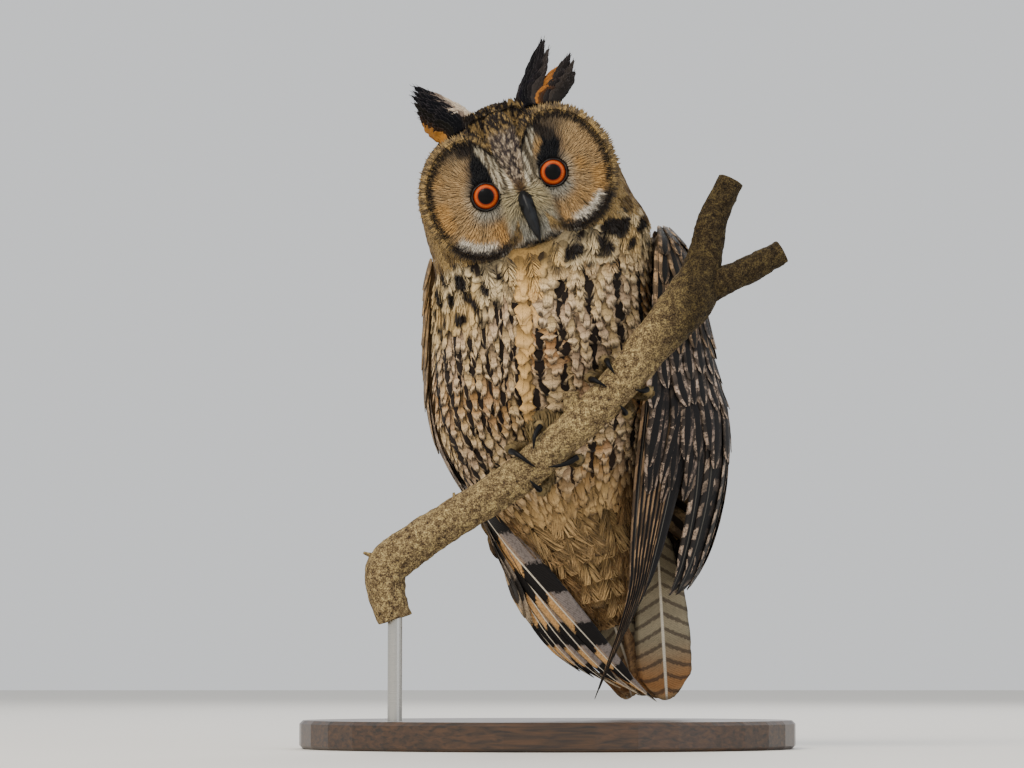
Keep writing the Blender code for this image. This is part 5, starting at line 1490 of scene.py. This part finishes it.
def tuftPiece(side, hand):
    # each feather runs from the crown to its tip, bowed by the sine of its share, with loose barbs on it
    t = tuftValues
    chooser = np.random.default_rng(160 + hand)
    tips = np.array(t[side], float)
    hues = np.array([linear(code) for code in t["colours"][side]])
    # the long feathers, then shorter sets before and behind them that close the fan
    layers = [(1.0, 0.0), (0.86, 1.0), (0.92, -1.0), (0.7, 1.8), (0.76, -1.8), (0.5, 2.6), (0.5, -2.4)]
    share = np.linspace(0, 1, 12)
    f = np.linspace(-0.5, 0.5, len(tips))
    paths, colours = [], []
    for scale, ahead in layers:
        rootAside, rootAhead, rootUp = t["root"][side]
        start = np.stack([rootAside * hand + f * 15 * hand, rootAhead + ahead + 1.6 * f,
                          rootUp - 1.5 - 3.5 * f], -1)
        end = np.stack([tips[:, 0], -27.0 + 3 * f + ahead * 1.5, tips[:, 1]], -1)
        end = start + (end - start) * scale * chooser.uniform(0.96, 1.0, (len(tips), 1))
        bow = np.stack([hand * (f * 5.0 - 1.5), np.full(len(f), -1.5), 0 * f], -1)
        spots = start[:, None] + (end - start)[:, None] * share[None, :, None]
        spots = spots + np.sin(math.pi * share)[None, :, None] * bow[:, None]
        paths.append(onHead(spots[..., 0], spots[..., 1], spots[..., 2]))
        colours.append(hues * (1.0 if scale == 1.0 else 0.92))
    path, base = np.concatenate(paths), np.concatenate(colours)
    count = len(path)
    normals = np.broadcast_to(headFore + headRight * hand * 0.25, path.shape)
    look = {"base": base, "tip": mix(base, linear("#6f6468"), 0.25), "mark": base * 0.3,
            "pattern": (0, 0, 1), "texture": perVane(count, 0.1, 0, chooser.random(count))}
    roots = bodyRoots(17.8 + 0.3 * np.linspace(0, 1, count), hand * np.linspace(0.9, 1.6, count))
    name = side.capitalize()
    barbs = locks("earTuftBarbs" + name, path, normals, t["half"] * 1.1, outlines["tuft"], 12, look, roots,
                  camber=0.1, lock=0.15, start=0.2, sweep=0.2, seed=165 + hand)
    dress(barbs, softFeather, "tuft_feather")
    look.pop("tip")
    piece = vanes("earTuft" + name, path, normals, t["half"], outlines["tuft"], 9, look, roots,
                  camber=0.16, ragged=0.3, seed=167 + hand)
    return dress(piece, softFeather, "tuft_feather", "ear_tuft_" + side)


for side, hand in hands.items():
    tuftPiece(side, hand)
print("ear tufts made")


# Eyes


eyeValues = {
    "iris": 7.3,
    "pupil": 4.35,
    "lidInner": 7.25,
    "lidOuter": 8.0,
    "lidAhead": -2.2,
}


def eyeCentre(hand):
    # the middle of an eyeball, in the row frame
    return onHead(hand * headValues["eyeAside"], headValues["eyeDepth"], 0.0)


def eyeMaterial(side, hand):
    # the living eye's clear front over an orange iris with fine darker threads: a wet gloss on a soft
    # colour; distances are from the eye's own axis
    pupil, rim = eyeValues["pupil"] / 10, eyeValues["iris"] / 10
    material, tree, shader, place = newMaterial("glossy eye " + side)
    moved = addNode(tree, "VectorMath", [place, tuple(eyeCentre(hand))], "SUBTRACT")
    right = addNode(tree, "VectorMath", [moved, tuple(headRight)], "DOT_PRODUCT")
    up = addNode(tree, "VectorMath", [moved, tuple(headUp)], "DOT_PRODUCT")
    far = addNode(tree, "VectorMath", [addNode(tree, "CombineXYZ", [right, up])], "LENGTH")
    turn = addNode(tree, "Math", [up, right], "ARCTAN2")
    sine, cosine = (addNode(tree, "Math", [turn], kind) for kind in ("SINE", "COSINE"))
    wound = addNode(tree, "CombineXYZ", [sine, far, cosine])
    threads = addNode(tree, "TexNoise", {"Vector": wound, "Scale": 14.0, "Detail": 3.0, "Roughness": 0.7})
    # the ramp's places are in cm from the axis
    cm = addNode(tree, "MapRange", [far, 0.0, 0.01])
    iris = addNode(tree, "ValToRGB", [cm], stops=[
        (0.0, "#020102"), (pupil - 0.01, "#030203"), (pupil + 0.02, "#7c240a"), (0.56, "#c65a1b"),
        (0.64, "#96360f"), (rim - 0.02, "#3c1006"), (rim + 0.01, "#0b0605")])
    shade = addNode(tree, "MapRange", [threads, 0.35, 0.65, 0.72, 1.12])
    colour = addNode(tree, "VectorMath", {0: iris, "Scale": shade}, "SCALE")
    feed(shader, {"Base Color": colour, "Roughness": 0.6, "Specular IOR Level": 0.1, "Coat Weight": 0.14,
                  "Coat Roughness": 0.03, "Coat IOR": 1.34})
    return material


def lidMaterial():
    # the eyelid's rim is naked black skin, finely wrinkled, with a dull shine
    material, tree, shader, place = newMaterial("bare lid skin")
    wrinkle = addNode(tree, "TexNoise", {"Vector": place, "Scale": 1400.0})
    bump = addNode(tree, "Bump", {"Strength": 0.3, "Distance": 0.0002, "Height": wrinkle})
    feed(shader, {"Base Color": "#0c0b0d", "Roughness": 0.42, "Normal": bump})
    return material


def spherePoints(centre, radius, rings, sides):
    # a sphere about the head's fore axis: radius times sine and cosine of the angle from its front pole
    far, turn = grid(np.linspace(0.02, math.pi - 0.02, rings), circle(sides))
    across, up, ahead = np.sin(far) * np.cos(turn), np.sin(far) * np.sin(turn), np.cos(far)
    return (centre + radius * mm * (across[..., None] * headRight + up[..., None] * headUp
                                    + ahead[..., None] * headFore)).reshape(-1, 3)


def eyePieces():
    # the two eyeballs and the lids' rims round them
    v = eyeValues
    rings, sides = 40, 64
    middle, half = (v["lidInner"] + v["lidOuter"]) / 2, (v["lidOuter"] - v["lidInner"]) / 2
    lidSkin = lidMaterial()
    for side, hand in hands.items():
        points = spherePoints(eyeCentre(hand), headValues["eyeRadius"], rings, sides)
        piece = meshPiece("eyeBall_" + side, points, tubeFaces(rings, sides))
        dress(piece, eyeMaterial(side, hand), "eye", "eye_" + side)
        # lid: a flattened ring whose inner edge lies on the ball; its section is an ellipse in radius and
        # ahead, and its opening is a little flatter above
        turn, section = grid(circle(72), circle(12))
        radius = middle + half * np.cos(section) + 0.22 * np.sin(turn * 9) * smooth(0.2, 1.0, np.cos(section))
        ahead = v["lidAhead"] - 0.55 * (radius - middle) + 1.15 * np.sin(section)
        out = radius * np.cos(turn)
        up = radius * np.sin(turn) * (1 - 0.05 * smooth(0, 1, np.sin(turn)))
        points = onHead(hand * headValues["eyeAside"] + out, ahead, up).reshape(-1, 3)
        dress(meshPiece("eyeLid_" + side, points, [gridFaces(73, 12) % (72 * 12)]), lidSkin, "horn")


eyePieces()
print("eyes made")


# Bill and claws: dark horn

billValues = {
    "upper": [(-12, -7, 3.8, 4.4), (-1, -8, 4.0, 4.6), (3, -13, 3.9, 4.4), (5.2, -20, 3.3, 3.8),
              (5.0, -27, 2.2, 2.7), (3.4, -32, 1.0, 1.3), (2.2, -34.4, 0.35, 0.45)],
    "lower": [(-12, -15, 3.1, 2.9), (-2, -18, 3.1, 2.9), (1.2, -23, 2.5, 2.4), (2.0, -28, 1.25, 1.3),
              (2.0, -30, 0.45, 0.5)],
    "nostril": (4.6, -13.5),
    "nostrilSize": (1.3, 1.8),
}


def hornMaterial(name, dark, pale, shine):
    # polished keratin: near black with a cloudy grey bloom and a soft wax shine
    material, tree, shader, place = newMaterial(name)
    cloud = addNode(tree, "TexNoise", {"Vector": place, "Scale": 260.0, "Detail": 5.0})
    colour = addNode(tree, "ValToRGB", [cloud], stops=[(0.35, dark), (0.72, pale)])
    rough = addNode(tree, "MapRange", [cloud, 0.3, 0.7, 0.34, 0.6])
    fine = addNode(tree, "TexNoise", {"Vector": place, "Scale": 1500.0, "Detail": 2.0})
    bump = addNode(tree, "Bump", {"Strength": 0.15, "Distance": 0.0002, "Height": fine})
    feed(shader, {"Base Color": colour, "Roughness": rough, "Normal": bump, "Specular IOR Level": shine})
    return material


billHorn = hornMaterial("polished bill horn", "#050609", "#1c1e21", 0.26)
clawHorn = hornMaterial("polished claw horn", "#030304", "#0b0b0d", 0.14)


def billPiece(name, rows, node, nostrils):
    # rings in the plane between the eyes: along each ring a narrowed top, half width * sin(t) * (1 - ridge),
    # and half depth * cos(t); the nostrils are dents, a bell curve deep
    v = billValues
    steps, sides = 60, 40
    line = through(rows, np.linspace(0, len(rows) - 1, steps))
    along = unit(np.gradient(line[:, :2], axis=0))
    out = np.stack([-along[:, 1], along[:, 0]], -1)
    turn = circle(sides)
    c, s = np.cos(turn), np.sin(turn)
    ridge = 1 - 0.3 * smooth(0.2, 1.0, c)
    wide = line[:, 2:3] * s * ridge
    deep = line[:, 3:4] * c
    ahead, up = line[:, :1] + out[:, :1] * deep, line[:, 1:2] + out[:, 1:2] * deep
    if nostrils:
        ny, nz = v["nostril"]
        rx, rz = v["nostrilSize"]
        gap = np.hypot((ahead - ny) / rx, (up - nz) / rz)
        wide = wide - np.sign(wide) * 1.2 * np.exp(-gap**2 * 1.5) * smooth(1.0, 2.5, np.abs(wide))
    points = onHead(wide, ahead, up).reshape(-1, 3)
    return dress(meshPiece(name, points, tubeFaces(steps, sides)), billHorn, "horn", node)


billPiece("billUpper", billValues["upper"], "bill_upper", True)
billPiece("billLower", billValues["lower"], "bill_lower", False)


# Perch, feet and claws

# x, y, z and radius of each line, as the solids have them
branchRows = np.array([
    [-84, -65, 72, 9.5], [-89, -65, 88, 10.5], [-88, -65, 101, 12.0], [-76, -65, 111, 11.5],
    [-57, -65, 124, 10.5], [-26, -66, 143, 10.5], [5, -68, 168, 10.2], [36, -72, 197, 10.5],
    [57, -71, 223, 11.5], [78, -68, 248, 14.0], [85, -66, 266, 10.5], [91, -65, 292, 8.2],
    [101, -64, 314, 7.4],
])
sideBranchRows = np.array([[76, -68, 246, 9.0], [92, -67, 256, 8.6], [110, -66, 264, 7.6],
                           [129, -65, 274, 6.8]])
stubRows = np.array([[16, -70, 178, 7.0], [13, -71, 188, 5.2], [12.5, -72, 196, 4.6]])
spurRows = np.array([[[-86, -66, 103, 3.4], [-101, -69, 108, 0.8]],
                     [[-50, -64, 128, 2.6], [-52, -62, 141, 0.7]]])
gripValues = {
    # branch row at the heel, then each toe: place along the branch and angle round it, at the claw's root
    # and at its point; 0 degrees is the branch's back, 90 its top and 180 its front
    "right": (5.86, [(5, 92, -6, 146), (-17, 94, -12, 192), (9, -95, -6, -140), (-18, -95, -19, -146)]),
    "left": (7.1, [(7, 92, 3, 150), (-9, 94, -6, 160), (9, -95, 4, -130), (-9, -95, -8, -130)]),
    "toeRadius": 3.3,
    "heelRadius": 4.6,
    "rowLength": 41,
    "rest": 3.8,
    "clawStart": 14,
    "claw": [(0, 3.4, 2.1), (0.3, 3.7, 1.8), (0.6, 3.3, 1.35), (0.82, 2.2, 0.85), (1, 0.7, 0.3)],
    "legs": {
        "right": [[-3, -26, 184, 17], [-1, -38, 180, 14], [-1, -46, 173, 9.5], [-1, -50, 167, 6]],
        "left": [[28, -18, 208, 15], [30, -34, 207, 12], [33, -46, 205, 8.5], [37, -54, 201, 6]],
    },
}


def onBranch(at, along, angle, clear):
    # a place clear of the bark by a distance: the branch line's point plus, round it, back times cosine and
    # top times sine of the angle
    row = at + along / gripValues["rowLength"]
    x, y, z, radius = through(branchRows, row)
    ahead = unit((through(branchRows, row + 0.1) - through(branchRows, row - 0.1))[:3])
    behind = unit(np.array([0, 1.0, 0]) - ahead * ahead[1])
    above = np.cross(behind, ahead)
    above = above if above[2] > 0 else -above
    turn = math.radians(angle)
    return np.array([x, y, z]) + (behind * math.cos(turn) + above * math.sin(turn)) * (radius + clear)


def toeRows(side, number):
    # a toe's line, from the heel round the bark to the claw's root, with its thinning radius
    v = gripValues
    at, toes = v[side]
    along, root, _, _ = toes[number]
    rows = [[*onBranch(at, along * 0.1, 0, v["rest"] + 1.2), v["heelRadius"]]]
    for share in (0.3, 0.55, 0.8, 1.0):
        thick = v["toeRadius"] * (1.12 - 0.2 * share)
        rows.append([*onBranch(at, along * (0.1 + 0.9 * share), root * share, v["rest"] + 0.3), thick])
    return np.array(rows)


def clawRows(side, number):
    # a claw's line, from the toe's end round the bark to its point, by shares of the way
    v = gripValues
    at, toes = v[side]
    along, root, tipAlong, tip = toes[number]
    start = root + math.copysign(1, root) * v["clawStart"]
    rows = []
    for share, clear, radius in v["claw"]:
        place = onBranch(at, along + (tipAlong - along) * share, start + (tip - start) * share, clear)
        rows.append([*place, radius])
    return np.array(rows)


def closedTube(rows, steps, sides):
    # the points and faces of a tube with round ends: its last rings shrink by sqrt(1 - t^2)
    centre, ring, radius = tubePoints(rows, steps, sides)
    ahead = unit(centre[-1, 0] - centre[-2, 0])
    caps = []
    for t in (0.5, 0.8, 0.95, 1.0):
        caps.append(centre[-1] + ahead * radius[-1] * t + ring[-1] * radius[-1] * math.sqrt(1.0001 - t * t))
    points = np.concatenate([centre + ring * radius, np.array(caps)]).reshape(-1, 3) * mm
    return points, tubeFaces(steps + len(caps), sides, turned=True)


def joined(parts):
    # one mesh's points and faces from several
    points, faces, first = [], [], 0
    for some, lists in parts:
        points.append(some)
        faces += [f + first for f in lists]
        first += len(some)
    return np.concatenate(points), faces


def limbFeathers(name, rows, count, seed, length, half):
    # small feathers round a tube that lie along it: each path keeps its angle and goes down the line
    chooser = np.random.default_rng(seed)
    start = chooser.uniform(-0.1, 0.92, count)
    angle = chooser.uniform(-math.pi, math.pi, count)
    last = len(rows) - 1
    line = through(rows, np.linspace(0, last, 60))[:, :3]
    total = np.linalg.norm(np.diff(line, axis=0), axis=1).sum()
    reach = length * chooser.uniform(0.8, 1.2, count) / total
    f = np.linspace(0, 1, 5)
    at = (start[:, None] + reach[:, None] * f) * last
    spot = through(rows, at)
    ahead = unit((through(rows, at + 0.05) - through(rows, at - 0.05))[..., :3])
    side, up = squareTo(ahead)
    out = side * np.cos(angle)[:, None, None] + up * np.sin(angle)[:, None, None]
    over = np.maximum(at - last, 0)[..., None] * total / last
    centre = spot[..., :3] + ahead * over
    height = -0.8 + (1.2 + chooser.uniform(0, 0.7, count)[:, None]) * f
    radius = spot[..., 3:] * np.sqrt(np.clip(1 - (over / spot[..., 3:]) ** 2, 0.02, 1))
    path = (centre + out * (radius + height[..., None])) * mm
    base = footColour(path)
    look = {"base": base, "mark": base * 0.5, "pattern": (0, 0, 1), "texture": (0, 0, 0)}
    roots = np.stack([0.6 + 0.3 * (angle / (2 * math.pi) + 0.5), 0.7 + 0.01 * start], -1)
    piece = vanes(name, path, out, half, outlines["hair"], 3, look, roots, camber=0.25, ragged=0.25,
                  thickness=0.15, seed=seed + 1)
    return dress(piece, softFeather, "foot_feather")


def footColour(points):
    # buff down, clouded by a broad noise and a fine one
    n = softNoise(points, 0.006, 41)
    fine = softNoise(points, 0.0016, 42)
    base = mix(palette["foot"] * 0.8, palette["foot"] * 1.25, smooth(0.3, 0.7, n))
    return base * (0.75 + 0.5 * fine)[..., None]


def legsAndFeet():
    # for each side: a skin of tubes, its short feathers, and the claws
    v = gripValues
    for side in hands:
        legRows = np.array(v["legs"][side], float)
        parts = [closedTube(legRows - np.array([0, 0, 0, 1.5]), 24, 32)]
        parts += [closedTube(toeRows(side, n) - np.array([0, 0, 0, 0.5]), 24, 20) for n in range(4)]
        points, faces = joined(parts)
        # the skin is the down's colour darkened to 70%: painted shade under the short feathers
        colour = footColour(points) * 0.7
        uv = np.stack([0.6 + 0.3 * (points[:, 0] * 4 % 1), 0.7 + 0.01 * (points[:, 2] * 4 % 1)], -1)
        piece = bareSkin("footSkin_" + side, points, faces, colour, uv, 1.0)
        dress(piece, softFeather, "foot_feather", "leg_" + side, "foot_" + side)
        limbFeathers("legCoat_" + side, legRows, 520, 200, 9.0, 0.9)
        for n in range(4):
            name = f"{side}_{n + 1}"
            limbFeathers("toeCoat_" + name, toeRows(side, n), 240, 210 + n, 3.8, 0.6)
            points, faces = closedTube(clawRows(side, n) * np.array([1, 1, 1, 0.82]), 30, 20)
            dress(meshPiece("clawHorn_" + name, points, faces), clawHorn, "horn", "claw_" + name)


legsAndFeet()
print("feet and claws made")


# Branch: bark with lichen

barkValues = {
    # real sizes in mm: swellings of the bark, patches of lichen, its crumbs, and the wood's fine pits
    "swelling": 9.0,
    "patch": 3.2,
    "crumb": 0.8,
    "pit": 0.6,
    "ridge": 1.0,
    # its colours from the pits up: dark, bare bark, moss, grey, lichen and pale lichen
    "stops": [(0.38, "#2a2118"), (0.44, "#65503a"), (0.48, "#64542e"), (0.52, "#8a775e"), (0.565, "#a58c56"),
              (0.64, "#cbb680")],
    "beyond": "#615d4c",
}


def barkMaterial():
    # dead bark: dull and crumbly, dark in its pits and dusted with grey and yellow-green lichen
    v = barkValues
    material, tree, shader, place = newMaterial("lichened bark")
    patch, crumb, pit = (
        addNode(tree, "TexNoise", {"Vector": place, "Scale": 1000 / v[key], "Detail": detail,
                                   "Roughness": rough})
        for key, detail, rough in (("patch", 4.0, 0.6), ("crumb", 4.0, 0.7), ("pit", 2.0, 0.5)))
    part = addNode(tree, "Math", [patch, 0.45], "MULTIPLY")
    whole = addNode(tree, "Math", [crumb, 0.55, part], "MULTIPLY_ADD")
    ramp = addNode(tree, "ValToRGB", [whole], stops=v["stops"])
    # the fork and what stands beyond it are darker and greener
    beyond = addNode(tree, "MapRange", {0: addNode(tree, "SeparateXYZ", [place]), 1: 0.05, 2: 0.078, 4: 0.9})
    colour = addNode(tree, "Mix", {0: beyond, 6: ramp, 7: v["beyond"]}, data_type="RGBA",
                     blend_type="MULTIPLY")
    heights = addNode(tree, "Math", [pit, 0.4, whole], "MULTIPLY_ADD")
    bump = addNode(tree, "Bump", {"Strength": 1.0, "Distance": 0.0016, "Height": heights})
    feed(shader, {"Base Color": colour, "Roughness": 0.92, "Specular IOR Level": 0.2, "Normal": bump})
    return material


def barkTube(rows, steps, sides, seed):
    # a tube whose radius swells and shrinks by noise, with flat cut ends drawn in a little at the edge
    v = barkValues
    centre, ring, radius = tubePoints(rows, steps, sides)
    points = centre + ring * radius
    rough = softNoise(points, v["swelling"], seed) - 0.5 + 0.8 * (softNoise(points, 3.6, seed + 1) - 0.5)
    fine = softNoise(points, 1.3, seed + 2) - 0.5
    relief = (rough * v["ridge"] + fine * 0.5) * np.minimum(1, radius[..., 0] / 6)
    points = points + ring * relief[..., None]
    ends = [points[0] + (centre[0] - points[0]) * 0.06, points[-1] + (centre[-1] - points[-1]) * 0.06]
    ahead = [unit(centre[0, 0] - centre[1, 0]), unit(centre[-1, 0] - centre[-2, 0])]
    points = np.concatenate([[ends[0] + ahead[0] * 0.3], points, [ends[1] + ahead[1] * 0.3]])
    return points.reshape(-1, 3) * mm, tubeFaces(steps + 2, sides, turned=True)


def branchPiece():
    # the main arm, the side branch, the stub and the spurs as one mesh of tubes
    parts = [barkTube(branchRows, 420, 72, 61), barkTube(sideBranchRows, 90, 56, 64)]
    parts += [barkTube(stubRows, 40, 40, 67)]
    parts += [barkTube(rows, 24, 20, 70 + n) for n, rows in enumerate(spurRows)]
    return dress(meshPiece("perchBark", *joined(parts)), barkMaterial(), "bark", "perch_branch")


branchPiece()
print("branch made")


# Stand: the two CAD solids keep their shapes and get finishes


def woodMaterial():
    # dark-stained ash under satin varnish: long grain along X, 2 mm apart, and open pores
    material, tree, shader, place = newMaterial("dark stained ash")
    stretch = addNode(tree, "Mapping", {"Vector": place, "Scale": (0.06, 1.0, 1.0)})
    grain = addNode(tree, "TexNoise", {"Vector": stretch, "Scale": 500.0, "Detail": 6.0, "Distortion": 0.6})
    colour = addNode(tree, "ValToRGB", [grain], stops=[(0.32, "#1c1209"), (0.68, "#4a3018")])
    bump = addNode(tree, "Bump", {"Strength": 0.2, "Distance": 0.0003, "Height": grain})
    feed(shader, {"Base Color": colour, "Roughness": 0.38, "Coat Weight": 0.3, "Coat Roughness": 0.25,
                  "Normal": bump})
    return material


def steelMaterial():
    # brushed stainless steel: fine scratches round the rod blur the reflections
    material, tree, shader, place = newMaterial("brushed stainless steel")
    stretch = addNode(tree, "Mapping", {"Vector": place, "Scale": (0.1, 0.1, 6.0)})
    scratch = addNode(tree, "TexNoise", {"Vector": stretch, "Scale": 800.0, "Detail": 3.0})
    rough = addNode(tree, "MapRange", [scratch, 0.3, 0.7, 0.24, 0.42])
    bump = addNode(tree, "Bump", {"Strength": 0.08, "Distance": 0.0001, "Height": scratch})
    feed(shader, {"Base Color": "#b8b6b0", "Metallic": 1.0, "Roughness": rough, "Normal": bump})
    return material


for node, material in (("stand_base", woodMaterial()), ("stand_rod", steelMaterial())):
    shown = bpy.data.objects[node]
    shown.data.materials.clear()
    shown.data.materials.append(material)
print("stand dressed")


# Floor, lights and camera

stageValues = {
    "floor": "#d9d6d0",
    "world": "#eef0f2",
    "worldStrength": 0.95,
    # name, place in metres, size in metres, watts, colour
    "lights": [
        ("key", (-1.3, -1.7, 2.3), 1.4, 84.0, "#fff6e8"),
        ("fill", (1.9, -1.5, 1.1), 1.8, 16.0, "#eef4ff"),
        ("rear", (0.4, 1.9, 1.8), 1.4, 30.0, "#ffffff"),
    ],
    "camera": (-0.02, -1.9924, 0.0437),
    "tilt": 5.0,
    "lens": 123.5,
    "shiftY": -0.02,
}


def makeStage():
    # floor, sky, three soft lights and the camera, which looks along +Y, tilted up
    v = stageValues
    # painted board without gloss, so that only the soft shadow shows
    floorMaterial, _, shader, _ = newMaterial("matt studio floor")
    feed(shader, {"Base Color": v["floor"], "Roughness": 0.8})
    spots = np.array([[-6, -6, 0], [6, -6, 0], [6, 6, 0], [-6, 6, 0]], float)
    floor = meshPiece("studioFloor", spots, [np.arange(4)[None]])
    floor.data.materials.append(floorMaterial)
    world = bpy.data.worlds.new("studio")
    world.use_nodes = True
    feed(world.node_tree.nodes["Background"], {"Color": v["world"], "Strength": v["worldStrength"]})
    bpy.context.scene.world = world
    for name, place, size, power, code in v["lights"]:
        lamp = bpy.data.lights.new(name, "AREA")
        lamp.size, lamp.energy, lamp.color = size, power, linear(code)
        shown = bpy.data.objects.new(name, lamp)
        shown.location = place
        aim = Vector((0, 0, 0.22)) - Vector(place)
        shown.rotation_euler = aim.to_track_quat("-Z", "Y").to_euler()
        bpy.context.scene.collection.objects.link(shown)
    lens = bpy.data.cameras.new("camera")
    lens.lens, lens.sensor_width, lens.shift_y = v["lens"], 36.0, v["shiftY"]
    camera = bpy.data.objects.new("camera", lens)
    camera.location = v["camera"]
    camera.rotation_euler = (math.radians(90 + v["tilt"]), 0, 0)
    bpy.context.scene.collection.objects.link(camera)
    bpy.context.scene.camera = camera


makeStage()
